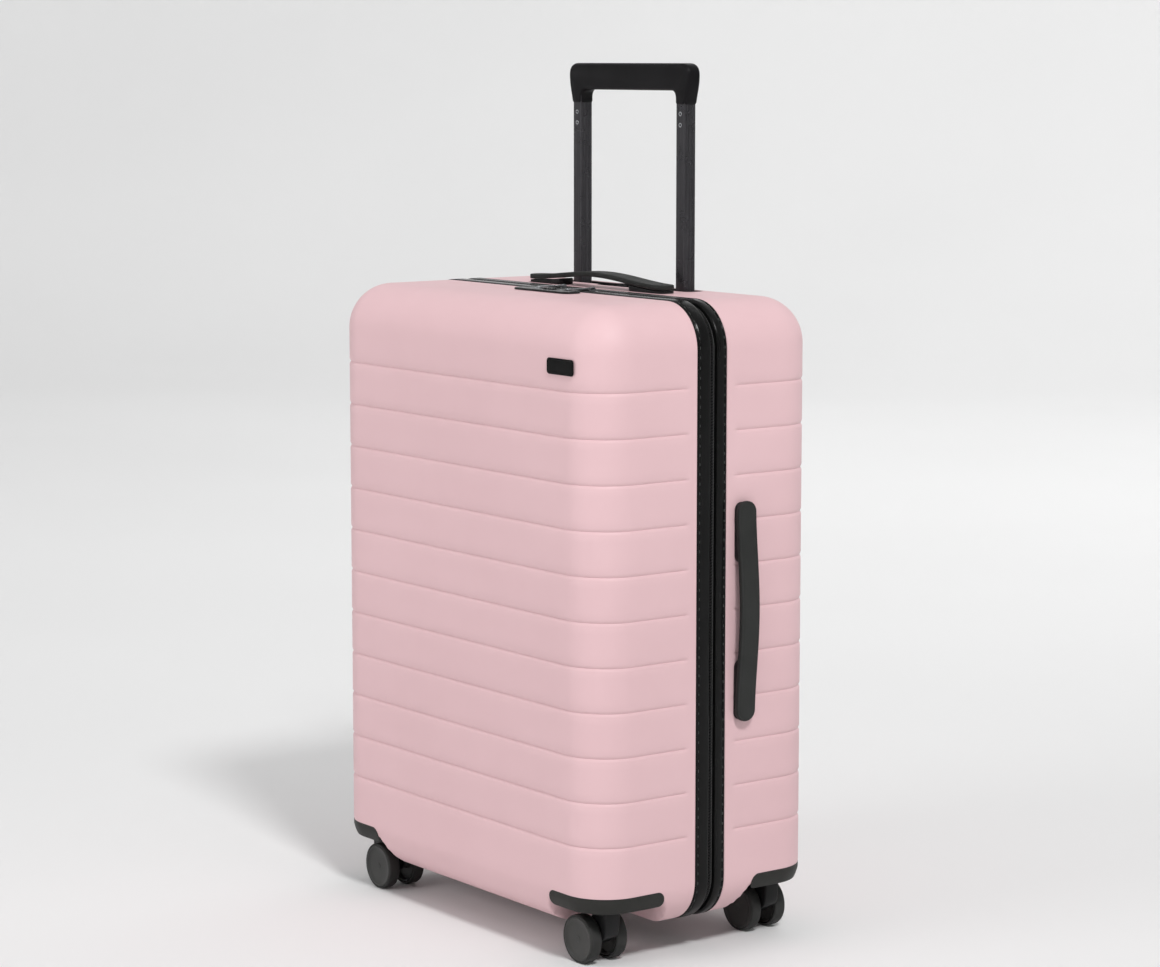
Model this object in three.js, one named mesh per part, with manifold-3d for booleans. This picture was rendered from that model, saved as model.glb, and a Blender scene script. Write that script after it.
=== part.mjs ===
// Hard shell suitcase on four twin-wheel casters, with a telescopic pull handle.
// Millimetres, +Z up, standing on Z = 0. The badge side faces -Y, the zip side faces +X.
import * as THREE from 'three';
import { mergeVertices } from 'three/addons/utils/BufferGeometryUtils.js';
import Module from 'manifold-3d';

const wasm = await Module();
wasm.setup();

// Case
const CASE_WIDTH = 471;
const CASE_DEPTH = 285;
const CASE_TOP = 658;
const CASE_BOTTOM = 31.5;
const EDGE_RADIUS = 47;
const WALL = 3.2;
const GROOVE_PITCH = 45;
const GROOVE_COUNT = 11;
const TOP_GROOVE_Z = 574.7;
const GROOVE_DEPTH = 1.7;
const GROOVE_HALF_HEIGHT = 2.2;
const GAP = 0.3;
const CORNER_STEPS = 6;

// Rim: bands and zip
const RIM_FRONT = -17.5;
const RIM_REAR = 19.4;
const FLANGE_WIDTH = 9;
const ZIP_Y = 3.4;
const ZIP_HALF_GAP = 3.4;
const BAND_PROUD = 0.8;
const BAND_THICKNESS = 6;
const BAND_BEVEL = 2.5;
const CHAIN_TOP_DEPTH = 3.4;
const CHAIN_BOTTOM_DEPTH = 5;
const CHAIN_HALF_GAP = 0.2;
const TAPE_THICKNESS = 1;
const TAPE_WIDTH = 12;

// Wheel recesses
const RECESS_X = 138;
const RECESS_Y = 38;
const RECESS_RISE_X = 19;
const RECESS_RISE_Y = 21;
const RECESS_ROOF = 64;

// Corner guards
const BUMPER_LOW = 58;
const BUMPER_HIGH = 74;
const CORNER_SIGNS = [[-1, -1], [-1, 1], [1, -1], [1, 1]];
const BUMPER_THICKNESS = 1.6;
const WELL_PLATE_INSET = 3.8;
const WELL_PLATE_LOW = 61;
const WELL_PLATE_X = [160, 233];
const WELL_PLATE_Y = [62, 140];
const BUMPER_REACH_X = 79;
const BUMPER_REACH_Y = 86;

// Linings
const LINING_GAP = 0.5;
const LINING_THICKNESS = 1.2;
const RIDGE_GAP = 0.5;

// Pull handle
const TUBE_X = 88.5;
const TUBE_Y = 83;
const INNER_TUBE = [14, 15];
const INNER_TUBE_WALL = 1.3;
const FLUTE_Y = 2.6;
const FLUTE_HALF_WIDTH = 0.8;
const FLUTE_DEPTH = 0.5;
const OUTER_TUBE_WALL = 1.6;
const OUTER_TUBE_BOTTOM = 72.5;
const BRIDGE_BOTTOM = 53;
const TRAY_FLOOR = 607;
const TRAY_WALL = 2;
const TRAY_HALF = [106, 10.5];
const SCOOP_HALF = [42, 18];
const GRIP_TOP = 891;
const GRIP_INNER_TOP = 863;
const GRIP_ARM_BOTTOM = 848;
const GRIP_HALF_WIDTH = 102.5;
const GRIP_DEPTH = 17;
const GRIP_BEVEL = 2.5;
const GRIP_SLOT_HALF = 4.3;
const TUBE_SOCKET_DEPTH = 20;
const YOKE_LOW = 872;
const YOKE_HIGH = 878;
const YOKE_TRAVEL_ROOM = 6;
const ROD_BOTTOM = 342;
const INNER_TUBE_BOTTOM = 322;
const PLUG_LENGTH = 13.5;
const SPIGOT_LENGTH = 10;
const BUTTON_HALF = 26;
const BUTTON_HALF_DEPTH = 4;
const BUTTON_LOW = 878.8;
const ROD_RADIUS = 2.4;

// Carry handles
const STRAP_WIDTH = 23;
const STRAP_THICKNESS = 5;
const STRAP_SEAT = 3.7;
const STRAP_STEPS = 14;
const SIDE_HANDLE_LENGTH = 223;
const SIDE_HANDLE_Y = 40;
const SIDE_HANDLE_Z = 347.5;
const SIDE_HANDLE_BOW = 6.5;
const SIDE_PAD_FROM = 49;
const TOP_HANDLE_LENGTH = 234;
const TOP_HANDLE_Y = 40;
const TOP_HANDLE_BOW = 7.7;
const TOP_FOOT_FROM = 57;

// Badge
const BADGE_X = 178;
const BADGE_Z = 598.7;
const BADGE_HALF = [21.5, 8];
const BADGE_RADIUS = 3.5;
const BADGE_HEIGHT = 1.6;

// Lock and zip pulls
const LOCK_X = 11;
const LOCK_Y = -37;
const LOCK_HALF = [48, 11.5];
const LOCK_HEIGHT = 2;
const LOCK_BOSS_HALF = [27, 7.5];
const LOCK_BOSS_DEPTH = 12;
const DIAL_RADIUS = 6;
const DIAL_WIDTH = 3.6;
const DIAL_PITCH = 8;
const DIAL_OFFSET = 4;
const DIAL_PROUD = 1.2;
const BUTTON_SLOT = [-23, -9.7];
const BUTTON_SLOT_HALF = 4.3;
const BUTTON_FLOOR = -2;
const PULL_SLOT_FLOOR = 1.4;
const LOCK_BUTTON = [-22.7, -13.7];
const PULL_OFFSET = 25;
const PULL_LENGTH = 34.4;
const PULL_HALF_WIDTH = 3;
const SLIDER_HALF = [6, 3];
const LUG_HALF = [1.2, 2.3];
const PULL_THICKNESS = 1.6;
const PULL_PIVOT_Z = 660.8;

// Casters
const KINGPIN_X = 197;
const KINGPIN_Y = 103;
const TRAIL = 15;
const WHEEL_RADIUS = 24.75;
const WHEEL_INNER_Y = 9.2;
const WHEEL_OUTER_Y = 22.3;
const FORK_HALF_THICKNESS = 8.7;
const KINGPIN_RADIUS = 4;
const SOCKET_RADIUS = 19;
const AXLE_RADIUS = 3;
const SOCKET_BOTTOM = 57.4;
const COLLAR_TOP = 57;
const COLLAR_BOTTOM = 51.6;

// The side handle stands out further at +X than the hinge tape does at -X, so the case sits a
// little off centre and the whole object is centred on X = 0.
const SIDE_HANDLE_REACH = STRAP_SEAT + SIDE_HANDLE_BOW + STRAP_THICKNESS;
const HINGE_SIDE_REACH = BAND_PROUD + GAP + TAPE_THICKNESS;
const FRAME_SHIFT_X = -(SIDE_HANDLE_REACH - HINGE_SIDE_REACH) / 2;

const MIDDLE_Z = (CASE_TOP + CASE_BOTTOM) / 2;
const CASE_HEIGHT = CASE_TOP - CASE_BOTTOM;

// ---------- solids ----------

function toSolid(geometry) {
  const bare = geometry.index ? geometry.toNonIndexed() : geometry.clone();
  bare.deleteAttribute('normal');
  bare.deleteAttribute('uv');
  const merged = mergeVertices(bare, 1e-4);
  const mesh = new wasm.Mesh({
    numProp: 3,
    vertProperties: new Float32Array(merged.attributes.position.array),
    triVerts: new Uint32Array(merged.index.array),
  });
  return new wasm.Manifold(mesh);
}

function toGeometry(solid) {
  const mesh = solid.getMesh();
  const geometry = new THREE.BufferGeometry();
  geometry.setAttribute('position', new THREE.BufferAttribute(mesh.vertProperties, 3));
  geometry.setIndex(new THREE.BufferAttribute(mesh.triVerts, 1));
  const flat = geometry.toNonIndexed();
  flat.computeVertexNormals();
  return flat;
}

function union(solids) {
  return solids.reduce((sum, solid) => sum.add(solid));
}

function box(low, high) {
  const size = high.map((value, i) => value - low[i]);
  const geometry = new THREE.BoxGeometry(...size);
  geometry.translate(...low.map((value, i) => value + size[i] / 2));
  return toSolid(geometry);
}

function cylinder(radius, low, high, x, y, segments = 24) {
  const geometry = new THREE.CylinderGeometry(radius, radius, high - low, segments);
  geometry.rotateX(Math.PI / 2);
  geometry.translate(x, y, (low + high) / 2);
  return toSolid(geometry);
}

function cylinderAlongY(radius, low, high, x, z, segments = 20) {
  const geometry = new THREE.CylinderGeometry(radius, radius, high - low, segments);
  geometry.translate(x, (low + high) / 2, z);
  return toSolid(geometry);
}

function cylinderAlongX(radius, low, high, y, z, segments = 20) {
  const geometry = new THREE.CylinderGeometry(radius, radius, high - low, segments);
  geometry.rotateZ(Math.PI / 2);
  geometry.translate((low + high) / 2, y, z);
  return toSolid(geometry);
}

function roundedRect(halfWidth, halfHeight, radius, steps = CORNER_STEPS) {
  const shape = new THREE.Shape();
  const centres = [
    [halfWidth - radius, halfHeight - radius],
    [radius - halfWidth, halfHeight - radius],
    [radius - halfWidth, radius - halfHeight],
    [halfWidth - radius, radius - halfHeight],
  ];
  const points = [];
  centres.forEach(([cx, cy], quarter) => {
    for (let i = 0; i <= steps; i += 1) {
      const angle = (quarter + i / steps) * (Math.PI / 2);
      points.push(new THREE.Vector2(cx + radius * Math.cos(angle), cy + radius * Math.sin(angle)));
    }
  });
  shape.setFromPoints(points);
  return shape;
}

// Extrusions of a flat outline: along Z from a plan, along Y from an elevation (X, Z)
// and along X from a side view (Y, Z).
function prismZ(shape, low, high) {
  const geometry = new THREE.ExtrudeGeometry(shape, { depth: high - low, bevelEnabled: false });
  geometry.translate(0, 0, low);
  return toSolid(geometry);
}

function prismY(shape, low, high) {
  const geometry = new THREE.ExtrudeGeometry(shape, { depth: high - low, bevelEnabled: false });
  geometry.rotateX(Math.PI / 2);
  geometry.translate(0, high, 0);
  return toSolid(geometry);
}

function prismX(shape, low, high) {
  const geometry = new THREE.ExtrudeGeometry(shape, { depth: high - low, bevelEnabled: false });
  geometry.rotateX(Math.PI / 2);
  geometry.rotateZ(Math.PI / 2);
  geometry.translate(low, 0, 0);
  return toSolid(geometry);
}

function polygon(points) {
  return new THREE.Shape(points.map(([x, y]) => new THREE.Vector2(x, y)));
}

// ---------- case form ----------

// Rounded block of the case, grown or shrunk by an offset from its outer surface.
function caseBlock(offset) {
  const halfX = CASE_WIDTH / 2 + offset;
  const halfY = CASE_DEPTH / 2 + offset;
  const halfZ = CASE_HEIGHT / 2 + offset;
  const radius = EDGE_RADIUS + offset;
  const reach = 400;
  const plan = prismZ(roundedRect(halfX, halfY, radius), -reach, reach);
  const front = prismY(roundedRect(halfX, halfZ, radius), -reach, reach);
  const side = prismX(roundedRect(halfY, halfZ, radius), -reach, reach);
  return plan.intersect(front).intersect(side).translate([0, 0, MIDDLE_Z]);
}

// One plank of the grooved wall: full size in the middle, drawn in at both ends.
function plank(low, high) {
  const inset = GROOVE_DEPTH;
  const shape = roundedRect(
    CASE_WIDTH / 2 - inset,
    CASE_DEPTH / 2 - inset,
    EDGE_RADIUS - inset,
  );
  const geometry = new THREE.ExtrudeGeometry(shape, {
    depth: high - low - 2 * GROOVE_HALF_HEIGHT,
    bevelEnabled: true,
    bevelSegments: 1,
    bevelSize: inset,
    bevelThickness: GROOVE_HALF_HEIGHT,
  });
  geometry.translate(0, 0, low + GROOVE_HALF_HEIGHT);
  return toSolid(geometry);
}

function groovedBlock() {
  const edges = [CASE_TOP + 60];
  for (let i = 0; i < GROOVE_COUNT; i += 1) {
    edges.push(TOP_GROOVE_Z - i * GROOVE_PITCH);
  }
  edges.push(CASE_BOTTOM - 60);
  const planks = [];
  for (let i = 0; i + 1 < edges.length; i += 1) {
    planks.push(plank(edges[i + 1], edges[i]));
  }
  return union(planks).intersect(caseBlock(0));
}

// S-shaped rise of a wheel recess: half of one edge, from the case bottom to the roof.
function recessOutline(start, rise, far, grow) {
  const steps = 6;
  const points = [[far, -50], [start - grow, -50], [start - grow, CASE_BOTTOM]];
  for (let i = 1; i <= steps; i += 1) {
    const t = i / steps;
    const lift = t * t * (3 - 2 * t);
    points.push([
      start - grow + rise * t,
      CASE_BOTTOM + (RECESS_ROOF + grow - CASE_BOTTOM) * lift,
    ]);
  }
  points.push([far, RECESS_ROOF + grow]);
  return polygon(points);
}

// Space cut from one bottom corner, where signs give the corner.
function wheelRecess(signX, signY, grow) {
  const far = 300;
  const alongY = prismY(recessOutline(RECESS_X, RECESS_RISE_X, far, grow), -far, far);
  const alongX = prismX(recessOutline(RECESS_Y, RECESS_RISE_Y, far, grow), -far, far);
  const corner = alongY.intersect(alongX);
  return corner.scale([signX, signY, 1]);
}

function cutRecesses(solid, grow) {
  let result = solid;
  for (const signX of [-1, 1]) {
    for (const signY of [-1, 1]) {
      result = result.subtract(wheelRecess(signX, signY, grow));
    }
  }
  return result;
}

function halfSpace(low, high) {
  return box([-400, low, -100], [400, high, 1000]);
}

// Plain strip beside the rim, where the grooves run out.
function flange(low, high) {
  const outline = roundedRect(CASE_WIDTH / 2, CASE_HEIGHT / 2, EDGE_RADIUS);
  return prismY(outline, low, high).translate([0, 0, MIDDLE_Z]);
}

function shellHalf(low, high, flangeLow, flangeHigh) {
  const outer = groovedBlock().intersect(halfSpace(low, high)).add(flange(flangeLow, flangeHigh));
  const carved = cutRecesses(outer, 0);
  const inner = cutRecesses(caseBlock(-WALL), WALL);
  return carved.subtract(inner).subtract(bumperPockets());
}

// ---------- shells ----------

function trayOpening(grow) {
  const long = roundedRect(TRAY_HALF[0] + grow, TRAY_HALF[1] + grow, 6 + grow, 4);
  const scoop = roundedRect(SCOOP_HALF[0] + grow, SCOOP_HALF[1] + grow, 8 + grow, 4);
  const low = TRAY_FLOOR - 10;
  const solid = prismZ(long, low, CASE_TOP + 20).add(prismZ(scoop, low, CASE_TOP + 20));
  return solid.translate([0, TUBE_Y, 0]);
}

function rearShell() {
  const half = shellHalf(RIM_REAR, 200, RIM_REAR, RIM_REAR + FLANGE_WIDTH);
  return half.subtract(trayOpening(TRAY_WALL + GAP));
}

function frontShell() {
  const half = shellHalf(-200, RIM_FRONT, RIM_FRONT - FLANGE_WIDTH, RIM_FRONT);
  const hole = box(
    [LOCK_X - LOCK_BOSS_HALF[0] - GAP, LOCK_Y - LOCK_BOSS_HALF[1] - GAP, CASE_TOP - 20],
    [LOCK_X + LOCK_BOSS_HALF[0] + GAP, LOCK_Y + LOCK_BOSS_HALF[1] + GAP, CASE_TOP + 20],
  );
  return half.subtract(hole);
}

// ---------- rim ----------

// Ring of the rim: outline grown by outset, hollow inside inset.
function rimRing(outset, inset, low, high, bevel) {
  const outer = roundedRect(
    CASE_WIDTH / 2 + outset - bevel,
    CASE_HEIGHT / 2 + outset - bevel,
    EDGE_RADIUS + outset - bevel,
  );
  const innerOutline = roundedRect(
    CASE_WIDTH / 2 - inset,
    CASE_HEIGHT / 2 - inset,
    EDGE_RADIUS - inset,
  );
  const geometry = new THREE.ExtrudeGeometry(outer, {
    depth: high - low - 2 * bevel,
    bevelEnabled: true,
    bevelSegments: 2,
    bevelSize: bevel,
    bevelThickness: bevel,
  });
  geometry.rotateX(Math.PI / 2);
  geometry.translate(0, high - bevel, 0);
  const hollow = prismY(innerOutline, low - 5, high + 5);
  return toSolid(geometry).subtract(hollow).translate([0, 0, MIDDLE_Z]);
}

function band(low, high) {
  return rimRing(BAND_PROUD, BAND_THICKNESS, low, high, BAND_BEVEL);
}

// Zip chain along the top, the zip side and the bottom; the hinge side has none.
function zipChain(low, high) {
  const outer = roundedRect(
    CASE_WIDTH / 2 - CHAIN_TOP_DEPTH,
    CASE_HEIGHT / 2 - CHAIN_TOP_DEPTH,
    EDGE_RADIUS - CHAIN_TOP_DEPTH,
  );
  const inner = roundedRect(
    CASE_WIDTH / 2 - CHAIN_BOTTOM_DEPTH,
    CASE_HEIGHT / 2 - CHAIN_BOTTOM_DEPTH,
    EDGE_RADIUS - CHAIN_BOTTOM_DEPTH,
  );
  const ring = prismY(outer, low, high).subtract(prismY(inner, low - 1, high + 1));
  const kept = box([-CASE_WIDTH / 2 + EDGE_RADIUS, -50, -400], [400, 50, 400]);
  return ring.intersect(kept).translate([0, 0, MIDDLE_Z]);
}

function hingeTape() {
  const half = CASE_HEIGHT / 2 - EDGE_RADIUS - 4;
  const outer = -CASE_WIDTH / 2 - BAND_PROUD - GAP;
  return box(
    [outer - TAPE_THICKNESS, ZIP_Y + CHAIN_HALF_GAP, MIDDLE_Z - half],
    [outer, ZIP_Y + TAPE_WIDTH, MIDDLE_Z + half],
  );
}

// ---------- linings ----------

// Room kept round the pull handle's fixed pieces inside the rear half.
function handleRidges(grow) {
  const deep = 220;
  const tubeHalf = INNER_TUBE[0] / 2 + GAP + OUTER_TUBE_WALL + grow;
  const front = TUBE_Y - INNER_TUBE[1] / 2 - GAP - OUTER_TUBE_WALL - grow;
  const solids = [];
  for (const sign of [-1, 1]) {
    const x = sign * TUBE_X;
    solids.push(box([x - tubeHalf, front, 0], [x + tubeHalf, deep, TRAY_FLOOR + 5]));
  }
  const bridgeHalf = TUBE_X + tubeHalf;
  solids.push(box([-bridgeHalf, front, 0], [bridgeHalf, deep, OUTER_TUBE_BOTTOM + grow]));
  const trayGrow = TRAY_WALL + grow;
  solids.push(box(
    [-TRAY_HALF[0] - trayGrow, TUBE_Y - SCOOP_HALF[1] - trayGrow, TRAY_FLOOR - trayGrow - GAP],
    [TRAY_HALF[0] + trayGrow, deep, CASE_TOP + 50],
  ));
  return union(solids);
}

function liningHalf(low, high) {
  const outerOffset = WALL + LINING_GAP;
  const innerOffset = outerOffset + LINING_THICKNESS;
  const outer = cutRecesses(caseBlock(-outerOffset), outerOffset).intersect(halfSpace(low, high));
  const inner = cutRecesses(caseBlock(-innerOffset), innerOffset);
  return { outer, inner };
}

function rearLining() {
  const { outer, inner } = liningHalf(RIM_REAR + 1, 200);
  const hollow = inner.subtract(handleRidges(RIDGE_GAP + LINING_THICKNESS));
  return outer.subtract(handleRidges(RIDGE_GAP)).subtract(hollow);
}

function frontLining() {
  const { outer, inner } = liningHalf(-200, RIM_FRONT - 1);
  const room = LINING_GAP;
  const bossRoom = (grow) => box(
    [
      LOCK_X - LOCK_BOSS_HALF[0] - grow,
      LOCK_Y - LOCK_BOSS_HALF[1] - grow,
      CASE_TOP - LOCK_BOSS_DEPTH - grow,
    ],
    [LOCK_X + LOCK_BOSS_HALF[0] + grow, LOCK_Y + LOCK_BOSS_HALF[1] + grow, CASE_TOP + 20],
  );
  const hollow = inner.subtract(bossRoom(room + LINING_THICKNESS));
  return outer.subtract(bossRoom(room)).subtract(hollow);
}

// ---------- corner guards and caster sockets ----------

// Guard round one bottom corner, nearly upright, with a plate that lines the wheel recess roof.
function bumperZone(grow) {
  return box(
    [CASE_WIDTH / 2 - BUMPER_REACH_X - grow, CASE_DEPTH / 2 - BUMPER_REACH_Y - grow, BUMPER_LOW - grow],
    [CASE_WIDTH, CASE_DEPTH, BUMPER_HIGH + grow],
  );
}

// Shallow pockets in the shells that the corner guards lie in.
function bumperPockets() {
  const layer = bumperZone(GAP).subtract(caseBlock(-BUMPER_THICKNESS - GAP));
  return union(CORNER_SIGNS.map(([signX, signY]) => layer.scale([signX, signY, 1])));
}

function bumper(signX, signY) {
  const skirt = bumperZone(0).intersect(caseBlock(0)).subtract(caseBlock(-BUMPER_THICKNESS));
  const outline = roundedRect(
    CASE_WIDTH / 2 - WELL_PLATE_INSET,
    CASE_DEPTH / 2 - WELL_PLATE_INSET,
    EDGE_RADIUS - WELL_PLATE_INSET,
  );
  const plate = box(
    [WELL_PLATE_X[0], WELL_PLATE_Y[0], WELL_PLATE_LOW],
    [WELL_PLATE_X[1], WELL_PLATE_Y[1], RECESS_ROOF - GAP],
  );
  const inside = prismZ(outline, 0, CASE_TOP);
  const room = cylinder(SOCKET_RADIUS + GAP, 0, CASE_TOP, KINGPIN_X, KINGPIN_Y);
  const corner = skirt.add(plate.intersect(inside)).subtract(room);
  return corner.scale([signX, signY, 1]);
}

function casterSocket(signX, signY) {
  const x = signX * KINGPIN_X;
  const y = signY * KINGPIN_Y;
  const plate = cylinder(SOCKET_RADIUS, SOCKET_BOTTOM, RECESS_ROOF - GAP, x, y);
  const pin = cylinder(KINGPIN_RADIUS, 38, SOCKET_BOTTOM + 1, x, y, 16);
  return plate.add(pin);
}

// ---------- casters ----------

// The fork hangs on the kingpin and trails towards the middle of the case.
function casterFork(signX, signY) {
  const outline = polygon([
    [-10, COLLAR_TOP - 1],
    [-10, 47],
    [-TRAIL - 3, 33.5],
    [-TRAIL - 7, 30.5],
    [-TRAIL - 8.5, 25],
    [-TRAIL - 7, 19.5],
    [-TRAIL - 3, 16.8],
    [-TRAIL + 3, 16.8],
    [0, 24.5],
    [9.5, 26.5],
    [12.5, 30],
    [14.5, 40],
    [14.5, COLLAR_TOP - 1],
  ]);
  const body = prismY(outline, -FORK_HALF_THICKNESS, FORK_HALF_THICKNESS);
  const collar = cylinder(14, COLLAR_BOTTOM, COLLAR_TOP, 0, 0);
  const pinBore = cylinder(KINGPIN_RADIUS + GAP, 37, 80, 0, 0, 16);
  const axleBore = cylinderAlongY(AXLE_RADIUS + 0.05, -30, 30, -TRAIL, WHEEL_RADIUS, 16);
  const fork = body.add(collar).subtract(pinBore).subtract(axleBore);
  return fork.scale([signX, 1, 1]).translate([signX * KINGPIN_X, signY * KINGPIN_Y, 0]);
}

function casterAxle(signX, signY) {
  const x = signX * (KINGPIN_X - TRAIL);
  const y = signY * KINGPIN_Y;
  return cylinderAlongY(AXLE_RADIUS, y - 18.4, y + 18.4, x, WHEEL_RADIUS, 16);
}

// Half wheel of a twin pair: closed dished cap outside, ribbed hollow inside.
function casterWheel(signX, signY, side) {
  const bore = AXLE_RADIUS + GAP;
  const profile = [
    [0, 21.4],
    [15.5, 21],
    [18, WHEEL_OUTER_Y],
    [23.4, WHEEL_OUTER_Y],
    [WHEEL_RADIUS, 20.7],
    [WHEEL_RADIUS, WHEEL_INNER_Y],
    [20.6, WHEEL_INNER_Y],
    [19.4, 15],
    [8, 15],
    [7, WHEEL_INNER_Y],
    [bore, WHEEL_INNER_Y],
    [bore, 18.8],
    [0, 18.8],
  ].map(([radius, y]) => new THREE.Vector2(radius, y));
  const geometry = new THREE.LatheGeometry(profile.reverse(), 20);
  const wheel = toSolid(geometry);
  const x = signX * (KINGPIN_X - TRAIL);
  return wheel.scale([1, side, 1]).translate([x, signY * KINGPIN_Y, WHEEL_RADIUS]);
}

// ---------- pull handle ----------

function rectTube(halfX, halfY, wall, low, high) {
  const outer = box([-halfX, -halfY, low], [halfX, halfY, high]);
  const inner = box([wall - halfX, wall - halfY, low - 1], [halfX - wall, halfY - wall, high + 1]);
  return outer.subtract(inner);
}

function outerTube(sign) {
  const halfX = INNER_TUBE[0] / 2 + GAP + OUTER_TUBE_WALL;
  const halfY = INNER_TUBE[1] / 2 + GAP + OUTER_TUBE_WALL;
  const top = TRAY_FLOOR - TRAY_WALL - GAP;
  const tube = rectTube(halfX, halfY, OUTER_TUBE_WALL, OUTER_TUBE_BOTTOM, top);
  return tube.translate([sign * TUBE_X, TUBE_Y, 0]);
}

// Inner tube with two shallow flutes on each side.
function innerTube(sign) {
  const [width, depth] = INNER_TUBE;
  const top = GRIP_ARM_BOTTOM + TUBE_SOCKET_DEPTH;
  let tube = rectTube(width / 2, depth / 2, INNER_TUBE_WALL, INNER_TUBE_BOTTOM, top);
  for (const side of [-1, 1]) {
    for (const y of [-FLUTE_Y, FLUTE_Y]) {
      const x = side * width / 2;
      tube = tube.subtract(box(
        [x - FLUTE_DEPTH, y - FLUTE_HALF_WIDTH, INNER_TUBE_BOTTOM - 1],
        [x + FLUTE_DEPTH, y + FLUTE_HALF_WIDTH, GRIP_ARM_BOTTOM - 3],
      ));
    }
  }
  return tube.translate([sign * TUBE_X, TUBE_Y, 0]);
}

// Plastic glide under an inner tube, with a spigot up inside it.
function glidePlug(sign) {
  const halfX = INNER_TUBE[0] / 2;
  const halfY = INNER_TUBE[1] / 2;
  const inset = INNER_TUBE_WALL + GAP;
  const top = INNER_TUBE_BOTTOM - GAP;
  const foot = box([-halfX, -halfY, top - PLUG_LENGTH], [halfX, halfY, top]);
  const spigot = box(
    [inset - halfX, inset - halfY, top - 1],
    [halfX - inset, halfY - inset, top + SPIGOT_LENGTH],
  );
  return foot.add(spigot).translate([sign * TUBE_X, TUBE_Y, 0]);
}

function gripOutline() {
  const w = GRIP_HALF_WIDTH;
  const armOut = TUBE_X + INNER_TUBE[0] / 2 + 1.2;
  const armIn = TUBE_X - INNER_TUBE[0] / 2 - 1.2;
  const shape = new THREE.Shape();
  shape.moveTo(armOut, GRIP_ARM_BOTTOM);
  shape.bezierCurveTo(w - 3, GRIP_ARM_BOTTOM + 14, w, GRIP_TOP - 22, w, GRIP_TOP - 12);
  shape.quadraticCurveTo(w, GRIP_TOP, w - 13, GRIP_TOP);
  shape.lineTo(13 - w, GRIP_TOP);
  shape.quadraticCurveTo(-w, GRIP_TOP, -w, GRIP_TOP - 12);
  shape.bezierCurveTo(-w, GRIP_TOP - 22, 3 - w, GRIP_ARM_BOTTOM + 14, -armOut, GRIP_ARM_BOTTOM);
  shape.lineTo(-armIn, GRIP_ARM_BOTTOM);
  shape.lineTo(-armIn, GRIP_INNER_TOP - 8);
  shape.quadraticCurveTo(-armIn, GRIP_INNER_TOP, 8 - armIn, GRIP_INNER_TOP);
  shape.lineTo(armIn - 8, GRIP_INNER_TOP);
  shape.quadraticCurveTo(armIn, GRIP_INNER_TOP, armIn, GRIP_INNER_TOP - 8);
  shape.lineTo(armIn, GRIP_ARM_BOTTOM);
  shape.closePath();
  return polygon(shape.getPoints(4).slice(0, -1).map((p) => [p.x, p.y]));
}

function grip() {
  const bevel = GRIP_BEVEL;
  const geometry = new THREE.ExtrudeGeometry(gripOutline(), {
    depth: GRIP_DEPTH - 2 * bevel,
    bevelEnabled: true,
    bevelSegments: 2,
    bevelSize: bevel,
    bevelOffset: -bevel,
    bevelThickness: bevel,
  });
  geometry.rotateX(Math.PI / 2);
  geometry.translate(0, GRIP_DEPTH / 2 - bevel, 0);
  let solid = toSolid(geometry);
  for (const sign of [-1, 1]) {
    const x = sign * TUBE_X;
    solid = solid.subtract(box(
      [x - INNER_TUBE[0] / 2 - GAP, -INNER_TUBE[1] / 2 - GAP, GRIP_ARM_BOTTOM - 5],
      [x + INNER_TUBE[0] / 2 + GAP, INNER_TUBE[1] / 2 + GAP, GRIP_ARM_BOTTOM + TUBE_SOCKET_DEPTH + GAP],
    ));
  }
  const channelHalf = TUBE_X + 5;
  const buttonHalf = BUTTON_HALF + GAP;
  solid = solid.subtract(box(
    [-channelHalf, -GRIP_SLOT_HALF, YOKE_LOW - YOKE_TRAVEL_ROOM],
    [channelHalf, GRIP_SLOT_HALF, YOKE_HIGH + GAP],
  ));
  solid = solid.subtract(box(
    [-buttonHalf, -GRIP_SLOT_HALF, YOKE_LOW],
    [buttonHalf, GRIP_SLOT_HALF, GRIP_TOP + 5],
  ));
  return solid.translate([0, TUBE_Y, 0]);
}

function gripButton() {
  const button = box(
    [-BUTTON_HALF, -BUTTON_HALF_DEPTH, BUTTON_LOW],
    [BUTTON_HALF, BUTTON_HALF_DEPTH, GRIP_TOP - 0.5],
  );
  return button.translate([0, TUBE_Y, 0]);
}

// Crossbar under the button with a rod down each tube.
function releaseYoke() {
  const barHalf = TUBE_X + ROD_RADIUS;
  const bar = box([-barHalf, -3.5, YOKE_LOW], [barHalf, 3.5, YOKE_HIGH]);
  const solids = [bar];
  for (const sign of [-1, 1]) {
    solids.push(cylinder(ROD_RADIUS, ROD_BOTTOM, YOKE_LOW + 1, sign * TUBE_X, 0, 10));
  }
  return union(solids).translate([0, TUBE_Y, 0]);
}

function handleTray() {
  const top = CASE_TOP - 0.5;
  const body = trayOpening(TRAY_WALL).intersect(box([-200, 0, TRAY_FLOOR - 2], [200, 200, top]));
  const hollow = trayOpening(0).intersect(box([-200, 0, TRAY_FLOOR], [200, 200, top + 50]));
  let tray = body.subtract(hollow);
  for (const sign of [-1, 1]) {
    const x = sign * TUBE_X;
    tray = tray.subtract(box(
      [x - INNER_TUBE[0] / 2 - GAP, TUBE_Y - INNER_TUBE[1] / 2 - GAP, TRAY_FLOOR - 10],
      [x + INNER_TUBE[0] / 2 + GAP, TUBE_Y + INNER_TUBE[1] / 2 + GAP, TRAY_FLOOR + 10],
    ));
  }
  return tray;
}

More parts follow.
